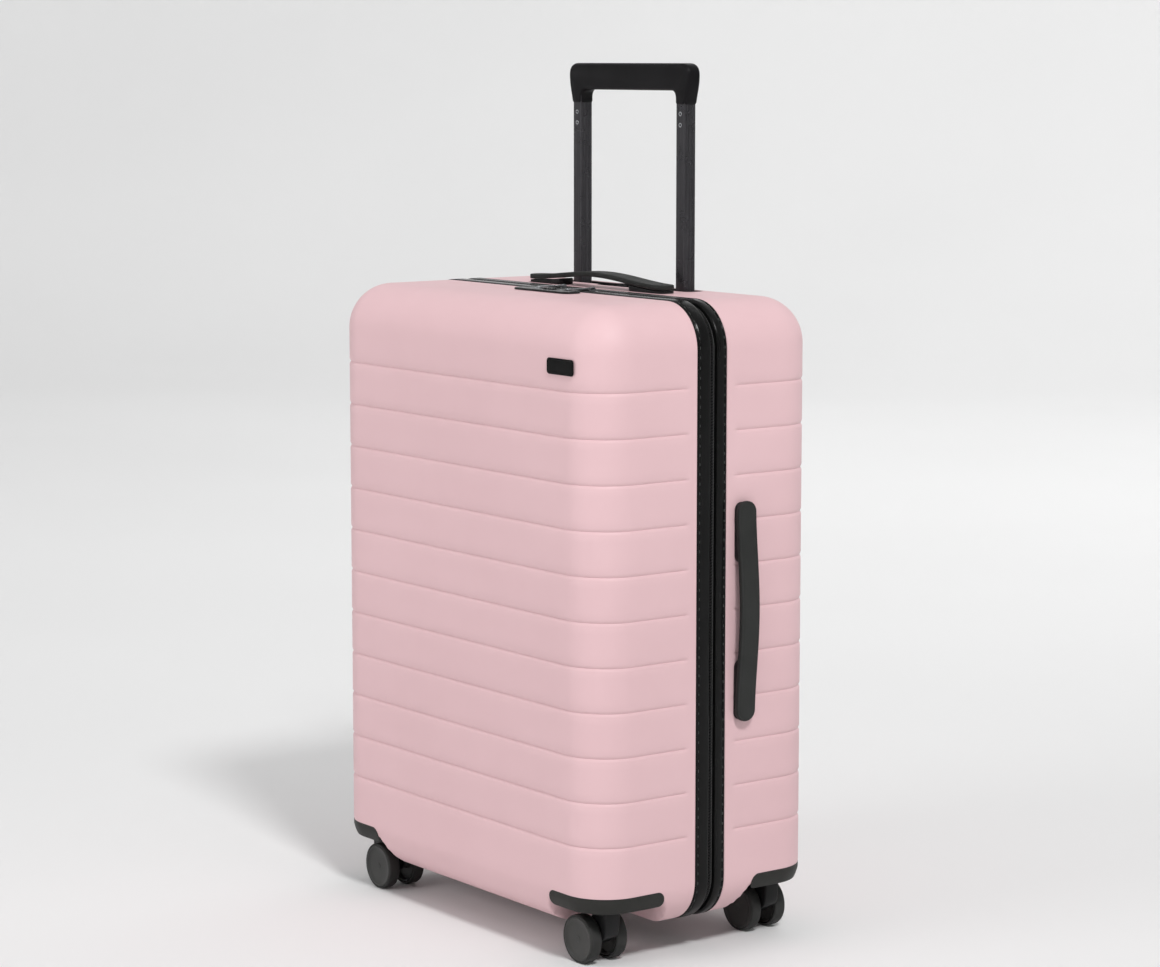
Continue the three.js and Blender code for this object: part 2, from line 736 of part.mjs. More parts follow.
function tubeBridge() {
  const half = TUBE_X + INNER_TUBE[0] / 2 + GAP + OUTER_TUBE_WALL;
  const halfY = INNER_TUBE[1] / 2 + GAP + OUTER_TUBE_WALL;
  return box(
    [-half, TUBE_Y - halfY, BRIDGE_BOTTOM],
    [half, TUBE_Y + halfY, OUTER_TUBE_BOTTOM - GAP],
  );
}

// ---------- carry handles ----------

// Height of a strap's underside, which bows away from the case between its two ends.
function strapLift(x, length, bow) {
  return STRAP_SEAT + bow * 0.5 * (1 + Math.cos((2 * Math.PI * x) / length));
}

function strapPlan(length) {
  return prismZ(roundedRect(length / 2, STRAP_WIDTH / 2, STRAP_WIDTH / 2 - 0.5, 5), -10, 60);
}

// Flat strap with rounded ends, length along local X, over a seat at Z = 0.
function strap(length, bow) {
  const lower = [];
  const upper = [];
  for (let i = 0; i <= STRAP_STEPS; i += 1) {
    const x = length * (i / STRAP_STEPS - 0.5);
    const lift = strapLift(x, length, bow);
    lower.push([x, lift]);
    upper.push([x, lift + STRAP_THICKNESS]);
  }
  const bar = prismY(polygon([...lower, ...upper.reverse()]), -STRAP_WIDTH / 2, STRAP_WIDTH / 2);
  return bar.intersect(strapPlan(length));
}

// Seat block that fills the room under one end of a strap; side is the end it stands at.
function strapSeat(length, bow, from, side) {
  const steps = 6;
  const tip = length / 2;
  const outline = [[from, GAP], [tip, GAP]];
  for (let i = steps; i >= 0; i -= 1) {
    const x = from + ((tip - from) * i) / steps;
    outline.push([x, strapLift(x, length, bow) - 2 * GAP]);
  }
  const block = prismY(polygon(outline), -STRAP_WIDTH / 2, STRAP_WIDTH / 2);
  return block.intersect(strapPlan(length)).scale([side, 1, 1]);
}

function onSide(solid) {
  return solid.rotate([0, 90, 0]).translate([CASE_WIDTH / 2, SIDE_HANDLE_Y, SIDE_HANDLE_Z]);
}

function onTop(solid) {
  return solid.translate([0, TOP_HANDLE_Y, CASE_TOP]);
}

// ---------- badge, lock and zip pulls ----------

function badgePlate() {
  const plan = roundedRect(BADGE_HALF[0], BADGE_HALF[1], BADGE_RADIUS, 3);
  const front = -CASE_DEPTH / 2;
  return prismY(plan, front - BADGE_HEIGHT, front - GAP).translate([BADGE_X, 0, BADGE_Z]);
}

function lockBody() {
  const low = CASE_TOP + GAP;
  const high = low + LOCK_HEIGHT;
  const plate = prismZ(roundedRect(LOCK_HALF[0], LOCK_HALF[1], 9, 4), low, high);
  const boss = box(
    [-LOCK_BOSS_HALF[0], -LOCK_BOSS_HALF[1], CASE_TOP - LOCK_BOSS_DEPTH],
    [LOCK_BOSS_HALF[0], LOCK_BOSS_HALF[1], low + 1],
  );
  let body = plate.add(boss);
  const dialZ = high + DIAL_PROUD - DIAL_RADIUS;
  for (let i = 0; i < 3; i += 1) {
    const x = DIAL_OFFSET + (i - 1) * DIAL_PITCH;
    const half = DIAL_WIDTH / 2 + GAP;
    body = body.subtract(box(
      [x - half, -DIAL_RADIUS - GAP, dialZ - DIAL_RADIUS - GAP],
      [x + half, DIAL_RADIUS + GAP, high + 5],
    ));
  }
  body = body.subtract(box(
    [BUTTON_SLOT[0], -BUTTON_SLOT_HALF, low + BUTTON_FLOOR],
    [BUTTON_SLOT[1], BUTTON_SLOT_HALF, high + 5],
  ));
  for (const sign of [-1, 1]) {
    const inner = sign * (PULL_OFFSET - 4);
    const outer = sign * (LOCK_HALF[0] + 5);
    body = body.subtract(box(
      [Math.min(inner, outer), 3, low + PULL_SLOT_FLOOR],
      [Math.max(inner, outer), LOCK_HALF[1] + 5, high + 5],
    ));
  }
  return body.translate([LOCK_X, LOCK_Y, 0]);
}

function lockDial(index) {
  const x = LOCK_X + DIAL_OFFSET + (index - 1) * DIAL_PITCH;
  const z = CASE_TOP + GAP + LOCK_HEIGHT + DIAL_PROUD - DIAL_RADIUS;
  return cylinderAlongX(DIAL_RADIUS, x - DIAL_WIDTH / 2, x + DIAL_WIDTH / 2, LOCK_Y, z, 20);
}

// Sliding release: it moves towards the dials and springs back.
function lockButton() {
  const low = CASE_TOP + GAP + BUTTON_FLOOR + GAP;
  const high = CASE_TOP + GAP + LOCK_HEIGHT + 0.6;
  const half = BUTTON_SLOT_HALF - GAP;
  const button = box([LOCK_BUTTON[0], -half, low], [LOCK_BUTTON[1], half, high]);
  return button.translate([LOCK_X, LOCK_Y, 0]);
}

function zipSlider(sign) {
  const x = LOCK_X + sign * PULL_OFFSET;
  const low = CASE_TOP - CHAIN_TOP_DEPTH + GAP;
  const plate = box(
    [x - SLIDER_HALF[0], -SLIDER_HALF[1], low],
    [x + SLIDER_HALF[0], SLIDER_HALF[1], CASE_TOP + 0.2],
  );
  const lug = box(
    [x - LUG_HALF[0], -LUG_HALF[1], CASE_TOP],
    [x + LUG_HALF[0], LUG_HALF[1], PULL_PIVOT_Z + 1.5],
  );
  return plate.add(lug).translate([0, ZIP_Y, 0]);
}

// Pull tab: two prongs that straddle the slider's lug and a tongue that drops into the lock.
function zipPull(sign) {
  const x = LOCK_X + sign * PULL_OFFSET;
  const half = PULL_THICKNESS / 2;
  const tongue = box(
    [x - PULL_HALF_WIDTH, -PULL_LENGTH, PULL_PIVOT_Z - half],
    [x + PULL_HALF_WIDTH, PULL_THICKNESS, PULL_PIVOT_Z + half],
  );
  const slotHalf = LUG_HALF[0] + GAP;
  const slot = box(
    [x - slotHalf, -LUG_HALF[1] - 0.9, PULL_PIVOT_Z - 3],
    [x + slotHalf, LUG_HALF[1] + 0.7, PULL_PIVOT_Z + 3],
  );
  return tongue.subtract(slot).translate([0, ZIP_Y, 0]);
}

// ---------- materials ----------

function material(color, roughness, metalness) {
  return new THREE.MeshStandardMaterial({ color, roughness, metalness });
}

const LOOKS = {
  shell: () => material(0xe0bcc2, 0.45, 0),
  blackPlastic: () => material(0x202020, 0.5, 0),
  softPlastic: () => material(0x2e2e2e, 0.62, 0),
  band: () => material(0x141414, 0.3, 0),
  zipTape: () => material(0x181818, 0.8, 0),
  lining: () => material(0x8f8b8d, 0.95, 0),
  anodised: () => material(0x17171a, 0.35, 0.8),
  steel: () => material(0xb9bcc0, 0.3, 1),
  tyre: () => material(0x333333, 0.6, 0),
};

// ---------- assembly ----------

const suitcase = new THREE.Group();
suitcase.name = 'suitcase';

function put(name, solid, look) {
  const mesh = new THREE.Mesh(toGeometry(solid), LOOKS[look]());
  mesh.name = name;
  mesh.position.x = FRAME_SHIFT_X;
  suitcase.add(mesh);
}

put('rear_shell', rearShell(), 'shell');
put('front_shell', frontShell(), 'shell');
put('rear_band', band(ZIP_Y + ZIP_HALF_GAP, RIM_REAR - GAP), 'band');
put('front_band', band(RIM_FRONT + GAP, ZIP_Y - ZIP_HALF_GAP), 'band');
const chainFar = ZIP_HALF_GAP - GAP;
put('rear_zip_chain', zipChain(ZIP_Y + CHAIN_HALF_GAP, ZIP_Y + chainFar), 'zipTape');
put('front_zip_chain', zipChain(ZIP_Y - chainFar, ZIP_Y - CHAIN_HALF_GAP), 'zipTape');
put('hinge_tape', hingeTape(), 'zipTape');
put('rear_lining', rearLining(), 'lining');
put('front_lining', frontLining(), 'lining');
put('handle_tray', handleTray(), 'blackPlastic');
put('tube_bridge', tubeBridge(), 'blackPlastic');
put('grip', grip(), 'blackPlastic');
put('grip_button', gripButton(), 'blackPlastic');
put('release_yoke', releaseYoke(), 'steel');

for (const [side, sign] of [['left', -1], ['right', 1]]) {
  put(`outer_tube_${side}`, outerTube(sign), 'anodised');
  put(`inner_tube_${side}`, innerTube(sign), 'anodised');
  put(`glide_plug_${side}`, glidePlug(sign), 'blackPlastic');
  const foot = strapSeat(TOP_HANDLE_LENGTH, TOP_HANDLE_BOW, TOP_FOOT_FROM, sign);
  put(`top_handle_foot_${side}`, onTop(foot), 'blackPlastic');
  put(`zip_slider_${side}`, zipSlider(sign), 'steel');
  put(`zip_pull_${side}`, zipPull(sign), 'steel');
}

put('top_handle_strap', onTop(strap(TOP_HANDLE_LENGTH, TOP_HANDLE_BOW)), 'softPlastic');
put('side_handle_strap', onSide(strap(SIDE_HANDLE_LENGTH, SIDE_HANDLE_BOW)), 'softPlastic');
for (const [end, sign] of [['lower', 1], ['upper', -1]]) {
  const pad = strapSeat(SIDE_HANDLE_LENGTH, SIDE_HANDLE_BOW, SIDE_PAD_FROM, sign);
  put(`side_handle_pad_${end}`, onSide(pad), 'blackPlastic');
}

put('badge_plate', badgePlate(), 'blackPlastic');
put('lock_body', lockBody(), 'blackPlastic');
put('lock_button', lockButton(), 'steel');
for (let i = 0; i < 3; i += 1) {
  put(`lock_dial_${i + 1}`, lockDial(i), 'blackPlastic');
}

for (const [end, signY] of [['front', -1], ['rear', 1]]) {
  for (const [side, signX] of [['left', -1], ['right', 1]]) {
    const place = `${end}_${side}`;
    put(`bumper_${place}`, bumper(signX, signY), 'softPlastic');
    put(`caster_socket_${place}`, casterSocket(signX, signY), 'blackPlastic');
    put(`caster_fork_${place}`, casterFork(signX, signY), 'blackPlastic');
    put(`caster_axle_${place}`, casterAxle(signX, signY), 'steel');
    put(`caster_wheel_a_${place}`, casterWheel(signX, signY, -1), 'tyre');
    put(`caster_wheel_b_${place}`, casterWheel(signX, signY, 1), 'tyre');
  }
}

export default suitcase;
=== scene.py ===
"""Looks of a hard shell suitcase on four twin-wheel casters, built over its CAD frame."""

import math
import random

import bmesh
import bpy
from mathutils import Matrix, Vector


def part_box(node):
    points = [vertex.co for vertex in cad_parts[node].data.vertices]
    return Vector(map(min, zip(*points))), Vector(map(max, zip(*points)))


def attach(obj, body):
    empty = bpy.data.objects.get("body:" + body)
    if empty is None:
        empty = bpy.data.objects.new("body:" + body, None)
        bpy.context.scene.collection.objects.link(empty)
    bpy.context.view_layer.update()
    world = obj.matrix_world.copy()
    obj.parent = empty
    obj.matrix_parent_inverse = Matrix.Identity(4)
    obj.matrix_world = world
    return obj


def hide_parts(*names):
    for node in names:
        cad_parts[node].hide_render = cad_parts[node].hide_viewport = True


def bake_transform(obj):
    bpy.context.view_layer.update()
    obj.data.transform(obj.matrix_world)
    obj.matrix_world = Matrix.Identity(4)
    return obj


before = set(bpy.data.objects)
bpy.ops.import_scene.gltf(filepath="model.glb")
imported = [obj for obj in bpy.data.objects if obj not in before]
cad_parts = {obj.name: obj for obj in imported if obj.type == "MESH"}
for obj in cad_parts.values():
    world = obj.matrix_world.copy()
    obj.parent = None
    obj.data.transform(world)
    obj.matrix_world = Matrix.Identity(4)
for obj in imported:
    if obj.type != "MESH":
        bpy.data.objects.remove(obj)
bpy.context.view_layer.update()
random.seed(7)

# ---------- sizes, in millimetres, with X = 0 in the middle of the case ----------

MM = 1000.0
shell_low, shell_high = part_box("rear_shell")
SHIFT = (shell_low.x + shell_high.x) / 2 * MM
WIDTH = (shell_high.x - shell_low.x) * MM
DEPTH = shell_high.y * MM * 2
TOP = shell_high.z * MM
BOTTOM = shell_low.z * MM
EDGE = 47.0
HALF = (WIDTH / 2, DEPTH / 2, (TOP - BOTTOM) / 2)
MIDDLE_Z = (TOP + BOTTOM) / 2
RIM_REAR = shell_low.y * MM
RIM_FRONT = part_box("front_shell")[1].y * MM
TOP_GROOVE_Z = 574.7
GROOVE_PITCH = 45.0
GROOVE_COUNT = 11
GROOVE_DEPTH = 1.5
GROOVE_REACH = 3.2
WALL = 1.8
GAP = 0.3

RECESS_X = 138.0
RECESS_Y = 38.0
RECESS_RISE_X = 19.0
RECESS_RISE_Y = 21.0
RECESS_ROOF = 64.0

ZIP_Y = 3.4
TUBE_X = 88.5
TUBE_Y = 83.0
TRAY_FLOOR = 607.0
TRAY_HALF = 106.0
TRAY_HALF_DEPTH = 10.5
TRAY_CORNER = 6
SCOOP_HALF = 42
SCOOP_HALF_DEPTH = 18
SCOOP_CORNER = 8
GRIP_TOP = 891.0
ARM_BOTTOM = 848.0
LOCK_X = 11.0
LOCK_Y = -37.0
LINING_OFFSET = 3.7


def at(x, y, z):
    """A point of the case in the row frame."""
    return ((x + SHIFT) / MM, y / MM, z / MM)


def centre(node):
    low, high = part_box(node)
    mid = (low + high) / 2 * MM
    return mid.x - SHIFT, mid.y, mid.z


def smooth_step(t):
    t = min(max(t, 0.0), 1.0)
    return t * t * (3 - 2 * t)


# ---------- materials ----------


def linear(r, g, b):
    def one(c):
        c /= 255
        return c / 12.92 if c <= 0.04045 else ((c + 0.055) / 1.055) ** 2.4

    return (one(r), one(g), one(b), 1)


class Look:
    """A Principled material with helpers for the patterns that feed it."""

    def __init__(self, name, roughness=0.5, metallic=0.0, coat=0.0, specular=0.5):
        self.material = bpy.data.materials.new(name)
        self.material.use_nodes = True
        self.tree = self.material.node_tree
        self.shader = self.tree.nodes["Principled BSDF"]
        self.shader.inputs["Roughness"].default_value = roughness
        self.shader.inputs["Metallic"].default_value = metallic
        self.shader.inputs["Coat Weight"].default_value = coat
        self.shader.inputs["Specular IOR Level"].default_value = specular
        self.place = self.tree.nodes.new("ShaderNodeTexCoord").outputs["Object"]
        self.height = None

    def node(self, kind, **values):
        made = self.tree.nodes.new(kind)
        for key, value in values.items():
            setattr(made, key, value)
        return made

    def link(self, a, b):
        self.tree.links.new(a, b)

    def stretched(self, scale):
        made = self.node("ShaderNodeMapping")
        made.inputs["Scale"].default_value = scale
        self.link(self.place, made.inputs["Vector"])
        return made.outputs["Vector"]

    def noise(self, scale, detail=3.0, rough=0.55, stretch=None):
        made = self.node("ShaderNodeTexNoise")
        made.inputs["Scale"].default_value = scale
        made.inputs["Detail"].default_value = detail
        made.inputs["Roughness"].default_value = rough
        self.link(self.stretched(stretch) if stretch else self.place, made.inputs["Vector"])
        return made.outputs["Fac"]

    def voronoi(self, scale):
        made = self.node("ShaderNodeTexVoronoi")
        made.inputs["Scale"].default_value = scale
        self.link(self.place, made.inputs["Vector"])
        return made.outputs["Distance"]

    def wave(self, scale, axis, distortion=0.0):
        made = self.node("ShaderNodeTexWave", bands_direction=axis)
        made.inputs["Scale"].default_value = scale
        made.inputs["Distortion"].default_value = distortion
        self.link(self.place, made.inputs["Vector"])
        return made.outputs["Fac"]

    def math(self, operation, a, b):
        made = self.node("ShaderNodeMath", operation=operation)
        for index, value in enumerate((a, b)):
            if isinstance(value, (int, float)):
                made.inputs[index].default_value = value
            else:
                self.link(value, made.inputs[index])
        return made.outputs[0]

    def ranged(self, fac, low, high):
        made = self.node("ShaderNodeMapRange")
        made.inputs["From Min"].default_value = 0.3
        made.inputs["From Max"].default_value = 0.7
        made.inputs["To Min"].default_value = low
        made.inputs["To Max"].default_value = high
        self.link(fac, made.inputs["Value"])
        return made.outputs["Result"]

    def colour(self, fac, dark, light):
        made = self.node("ShaderNodeMix", data_type="RGBA")
        made.inputs[6].default_value = dark
        made.inputs[7].default_value = light
        self.link(fac, made.inputs[0])
        self.link(made.outputs[2], self.shader.inputs["Base Color"])

    def roughness(self, fac, low, high):
        self.link(self.ranged(fac, low, high), self.shader.inputs["Roughness"])

    def bump(self, fac, strength, distance):
        made = self.node("ShaderNodeBump")
        made.inputs["Strength"].default_value = strength
        made.inputs["Distance"].default_value = distance
        self.link(fac, made.inputs["Height"])
        if self.height is not None:
            self.link(self.height, made.inputs["Normal"])
        self.height = made.outputs["Normal"]
        self.link(self.height, self.shader.inputs["Normal"])


def moulded(name, dark, light, rough, grain, strength, specular=0.25, spread=0.04):
    """Moulded plastic: fine leather-like grain, faint mottling and handling wear."""
    look = Look(name, roughness=rough, specular=specular)
    mottle = look.noise(14, 4)
    look.colour(look.ranged(mottle, 0, 1), linear(*dark), linear(*light))
    look.roughness(look.noise(38, 5, 0.6), rough - spread, rough + spread)
    look.bump(look.voronoi(grain), strength, 0.0002)
    look.bump(look.noise(grain * 2.3, 2), strength * 0.5, 0.0001)
    return look.material


def woven(name, dark, light, pitch, strength=0.6):
    """Plain weave: two crossed sets of threads, with a soft uneven tone."""
    look = Look(name, roughness=0.85)
    threads = math.pi / pitch / 10
    over = look.wave(threads, "X", 0.4)
    across = look.wave(threads, "Z", 0.4)
    deep = look.wave(threads, "Y", 0.4)
    weave = look.math("MULTIPLY", look.math("ADD", over, across), look.math("ADD", deep, 0.35))
    tone = look.math("ADD", look.math("MULTIPLY", weave, 0.5), look.math("MULTIPLY", look.noise(20), 0.35))
    look.colour(tone, linear(*dark), linear(*light))
    look.roughness(look.noise(60), 0.75, 0.95)
    look.bump(weave, strength, 0.0004)
    look.shader.inputs["Sheen Weight"].default_value = 0.2
    return look.material


def brushed(name, dark, light, rough, stretch, metallic=1.0):
    """Metal with fine lines drawn along the piece and a little wear."""
    look = Look(name, roughness=rough, metallic=metallic)
    lines = look.noise(900, 2, 0.5, stretch)
    look.colour(look.ranged(lines, 0, 1), linear(*dark), linear(*light))
    look.roughness(look.noise(60, 4), rough - 0.06, rough + 0.1)
    look.bump(lines, 0.15, 0.00005)
    return look.material


def shell_look():
    look = Look("pink_polycarbonate", roughness=0.5, specular=0.2)
    look.colour(look.ranged(look.noise(5, 4), 0, 1), linear(221, 186, 190), linear(226, 191, 195))
    look.roughness(look.noise(45, 5, 0.6), 0.46, 0.56)
    look.bump(look.voronoi(1500), 0.12, 0.00008)
    look.bump(look.noise(9, 2), 0.05, 0.0012)
    return look.material


def tyre_look():
    look = Look("polyurethane_tyre", roughness=0.6, specular=0.25)
    look.colour(look.ranged(look.noise(60, 5), 0, 1), linear(40, 40, 39), linear(52, 52, 51))
    look.roughness(look.noise(120, 4), 0.5, 0.72)
    look.bump(look.noise(420, 3), 0.25, 0.0002)
    return look.material


LOOKS = {
    "shell": shell_look(),
    "guard": moulded("grey_corner_guard", (40, 40, 38), (48, 48, 46), 0.52, 1300, 0.25, 0.2),
    "plastic": moulded("black_moulded_plastic", (19, 19, 20), (25, 25, 26), 0.42, 1500, 0.22, 0.2),
    "lock": moulded("satin_lock_plastic", (16, 16, 17), (22, 22, 23), 0.3, 1800, 0.1, 0.25),
    "grip": moulded("soft_touch_grip", (15, 14, 16), (21, 20, 22), 0.36, 1600, 0.18, 0.12),
    "badge": moulded("matt_badge_plastic", (6, 6, 6), (9, 9, 9), 0.5, 1800, 0.1, 0.12),
    "strap": moulded("rubber_strap", (38, 39, 38), (46, 47, 46), 0.6, 1100, 0.4, 0.22),
    "binding": moulded("gloss_binding", (11, 11, 11), (16, 16, 16), 0.22, 700, 0.12, 0.16),
    "thread": moulded("grey_thread", (58, 62, 60), (76, 80, 78), 0.7, 2500, 0.5, 0.2),
    "tape": woven("black_zip_tape", (12, 12, 12), (30, 30, 30), 0.0009),
    "coil": moulded("nylon_coil", (14, 14, 14), (24, 24, 24), 0.35, 2200, 0.15),
    "lining": woven("grey_lining", (96, 92, 95), (126, 122, 125), 0.0011),
    "anodised": brushed("black_anodised", (58, 57, 60), (74, 73, 76), 0.3, (1, 1, 0.01), 0.75),
    "steel": brushed("brushed_steel", (150, 152, 155), (196, 198, 201), 0.28, (0.05, 1, 1)),
    "wheel": moulded("grey_wheel_disc", (56, 56, 55), (65, 65, 63), 0.48, 1400, 0.2),
    "tyre": tyre_look(),
}

# ---------- meshes ----------


def new_object(name, verts, faces):
    mesh = bpy.data.meshes.new(name)
    mesh.from_pydata([at(*v) for v in verts], [], faces)
    made = bmesh.new()
    made.from_mesh(mesh)
    bmesh.ops.remove_doubles(made, verts=made.verts, dist=1e-6)
    bmesh.ops.dissolve_degenerate(made, edges=made.edges, dist=1e-7)
    bmesh.ops.recalc_face_normals(made, faces=made.faces)
    made.to_mesh(mesh)
    made.free()
    obj = bpy.data.objects.new(name, mesh)
    bpy.context.scene.collection.objects.link(obj)
    return obj


def modify(obj, kind, **values):
    modifier = obj.modifiers.new(kind.lower(), kind)
    for key, value in values.items():
        setattr(modifier, key, value)
    return modifier


def settle(obj):
    """Makes the modifiers part of the mesh."""
    bpy.context.view_layer.update()
    graph = bpy.context.evaluated_depsgraph_get()
    mesh = bpy.data.meshes.new_from_object(obj.evaluated_get(graph))
    obj.modifiers.clear()
    obj.data = mesh


def carve(obj, *cutters):
    for cutter in cutters:
        modify(obj, "BOOLEAN", operation="DIFFERENCE", solver="EXACT", object=cutter)
        settle(obj)
        bpy.data.objects.remove(cutter)
    return obj


def join(obj, *others):
    for other in others:
        modify(obj, "BOOLEAN", operation="UNION", solver="EXACT", object=other)
        settle(obj)
        bpy.data.objects.remove(other)
    return obj


def soften(obj, width, segments=3, angle=40):
    modify(
        obj,
        "BEVEL",
        width=width / MM,
        segments=segments,
        limit_method="ANGLE",
        angle_limit=math.radians(angle),
        harden_normals=False,
    )
    settle(obj)
    return obj


def place(obj, look, body, nodes=(), angle=35):
    """Gives a finished mesh its look, its smooth shading and its body."""
    mesh = obj.data
    mesh.materials.clear()
    mesh.materials.append(LOOKS[look])
    mesh.polygons.foreach_set("use_smooth", [True] * len(mesh.polygons))
    mesh.set_sharp_from_angle(angle=math.radians(angle))
    if nodes:
        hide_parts(*nodes)
    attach(obj, body)
    return obj


def dress(node, look):
    """A CAD node that stays, with a better material."""
    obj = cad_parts[node]
    obj.data.materials.clear()
    obj.data.materials.append(LOOKS[look])


def block(name, low, high):
    xs, ys, zs = zip(low, high)
    verts = [(x, y, z) for x in xs for y in ys for z in zs]
    faces = [(0, 1, 3, 2), (4, 6, 7, 5), (0, 4, 5, 1), (2, 3, 7, 6), (0, 2, 6, 4), (1, 5, 7, 3)]
    return new_object(name, verts, faces)


def prism(name, outline, low, high, lay):
    """A straight extrusion of an outline; lay turns (a, b, height) into a point."""
    count = len(outline)
    verts = [lay(a, b, low) for a, b in outline] + [lay(a, b, high) for a, b in outline]
    faces = [(i, (i + 1) % count, (i + 1) % count + count, i + count) for i in range(count)]
    faces += [tuple(range(count)), tuple(range(2 * count - 1, count - 1, -1))]
    return new_object(name, verts, faces)


def tube_between(name, outline, low, high, lay):
    """The wall of an extrusion, open at both ends."""
    count = len(outline)
    verts = [lay(a, b, low) for a, b in outline] + [lay(a, b, high) for a, b in outline]
    faces = [(i, (i + 1) % count, (i + 1) % count + count, i + count) for i in range(count)]
    return new_object(name, verts, faces)


def plan(a, b, h):
    return (a, b, h)


def elevation(a, b, h):
    return (a, h, b)


def round_corners(half_a, half_b, radius, steps=6):
    points = []
    corners = ((1, 1), (-1, 1), (-1, -1), (1, -1))
    for quarter, (sa, sb) in enumerate(corners):
        for i in range(steps + 1):
            angle = (quarter + i / steps) * math.pi / 2
            points.append((
                sa * (half_a - radius) + radius * math.cos(angle),
                sb * (half_b - radius) + radius * math.sin(angle),
            ))
    return points


def moved(points, da, db):
    return [(a + da, b + db) for a, b in points]


def lathe(name, profile, lay, segments=64):
    """Turns a profile of (radius, height) pairs; lay turns (a, b, height) into a point."""
    verts = []
    rings = []
    for radius, height in profile:
        ring = []
        if radius < 1e-6:
            ring = [len(verts)] * segments
            verts.append(lay(0, 0, height))
        else:
            for i in range(segments):
                angle = 2 * math.pi * i / segments
                ring.append(len(verts))
                verts.append(lay(radius * math.cos(angle), radius * math.sin(angle), height))
        rings.append(ring)
    faces = []
    closed = rings + ([rings[0]] if profile[0][0] > 1e-6 and profile[-1][0] > 1e-6 else [])
    for one, two in zip(closed, closed[1:]):
        for i in range(segments):
            j = (i + 1) % segments
            face = []
            for index in (one[i], one[j], two[j], two[i]):
                if index not in face:
                    face.append(index)
            if len(face) > 2:
                faces.append(tuple(face))
    return new_object(name, verts, faces)


def paired_loop(half_a, half_b, radius, arc, side):
    """Upper edge of a rounded rectangle from left to right; the lower edge mirrors it."""
    points = []
    for i in range(arc + 1):
        angle = math.pi - i / arc * math.pi / 2
        points.append((
            -half_a + radius + radius * math.cos(angle),
            half_b - radius + radius * math.sin(angle),
        ))
    straight = 2 * (half_a - radius)
    for i in range(1, side):
        points.append((-half_a + radius + straight * i / side, half_b))
    for i in range(arc + 1):
        angle = math.pi / 2 - i / arc * math.pi / 2
        points.append((
            half_a - radius + radius * math.cos(angle),
            half_b - radius + radius * math.sin(angle),
        ))
    return points


def pad(name, half_a, half_b, radius, profile, lay, arc=6, side=24, rows=4):
    """A raised strip: loops of (inset, height) from the back edge to the face, both filled."""
    verts = []
    loops = []
    for inset, height in profile:
        upper = paired_loop(half_a - inset, half_b - inset, max(radius - inset, 0.2), arc, side)
        start = len(verts)
        verts += [lay(a, b, height) for a, b in upper]
        verts += [lay(a, -b, height) for a, b in upper]
        count = len(upper)
        loops.append([start + i for i in range(count)] + [start + 2 * count - 1 - i for i in range(count)])
    faces = []
    for one, two in zip(loops, loops[1:]):
        total = len(one)
        for i in range(total):
            j = (i + 1) % total
            faces.append((one[i], one[j], two[j], two[i]))
    for loop, (inset, height) in ((loops[0], profile[0]), (loops[-1], profile[-1])):
        count = len(loop) // 2
        upper = paired_loop(half_a - inset, half_b - inset, max(radius - inset, 0.2), arc, side)
        columns = []
        for i, (a, b) in enumerate(upper):
            column = [loop[i]]
            for row in range(1, rows):
                column.append(len(verts))
                verts.append(lay(a, b * (1 - 2 * row / rows), height))
            column.append(loop[2 * count - 1 - i])
            columns.append(column)
        for left, right in zip(columns, columns[1:]):
            for row in range(rows):
                faces.append((left[row], right[row], right[row + 1], left[row + 1]))
    return new_object(name, verts, faces)


# ---------- case walls ----------


def spaced(start, end, step):
    count = max(1, round(abs(end - start) / step))
    return [start + (end - start) * i / count for i in range(count + 1)]


def edge_lines(half, steps, radius):
    """Grid lines on the rounded edge, even in angle."""
    return [
        half - radius + radius * math.tan(math.pi / 4 * i / steps) for i in range(1, steps + 1)
    ]


def recess_height(x, y, grow=0.0):
    """Height of the wheel recess above a point; the case bottom away from the recesses."""
    along = smooth_step((abs(x) - RECESS_X + grow) / RECESS_RISE_X)
    across = smooth_step((abs(y) - RECESS_Y + grow) / RECESS_RISE_Y)
    return BOTTOM + grow + (RECESS_ROOF - BOTTOM) * min(along, across)


def raised(z, low):
    """The higher of two heights, with a small fillet where they cross."""
    blend = min(4.0, max(low - BOTTOM - LINING_OFFSET, 0.0) + 0.01)
    overlap = max(blend - abs(z - low), 0.0)
    return max(z, low) + overlap * overlap / (4 * blend)


def groove_at(z):
    distance = min(abs(z - TOP_GROOVE_Z + i * GROOVE_PITCH) for i in range(GROOVE_COUNT))
    t = max(0.0, 1 - distance / GROOVE_REACH)
    return GROOVE_DEPTH * (t - 0.12 * math.sin(math.pi * t))


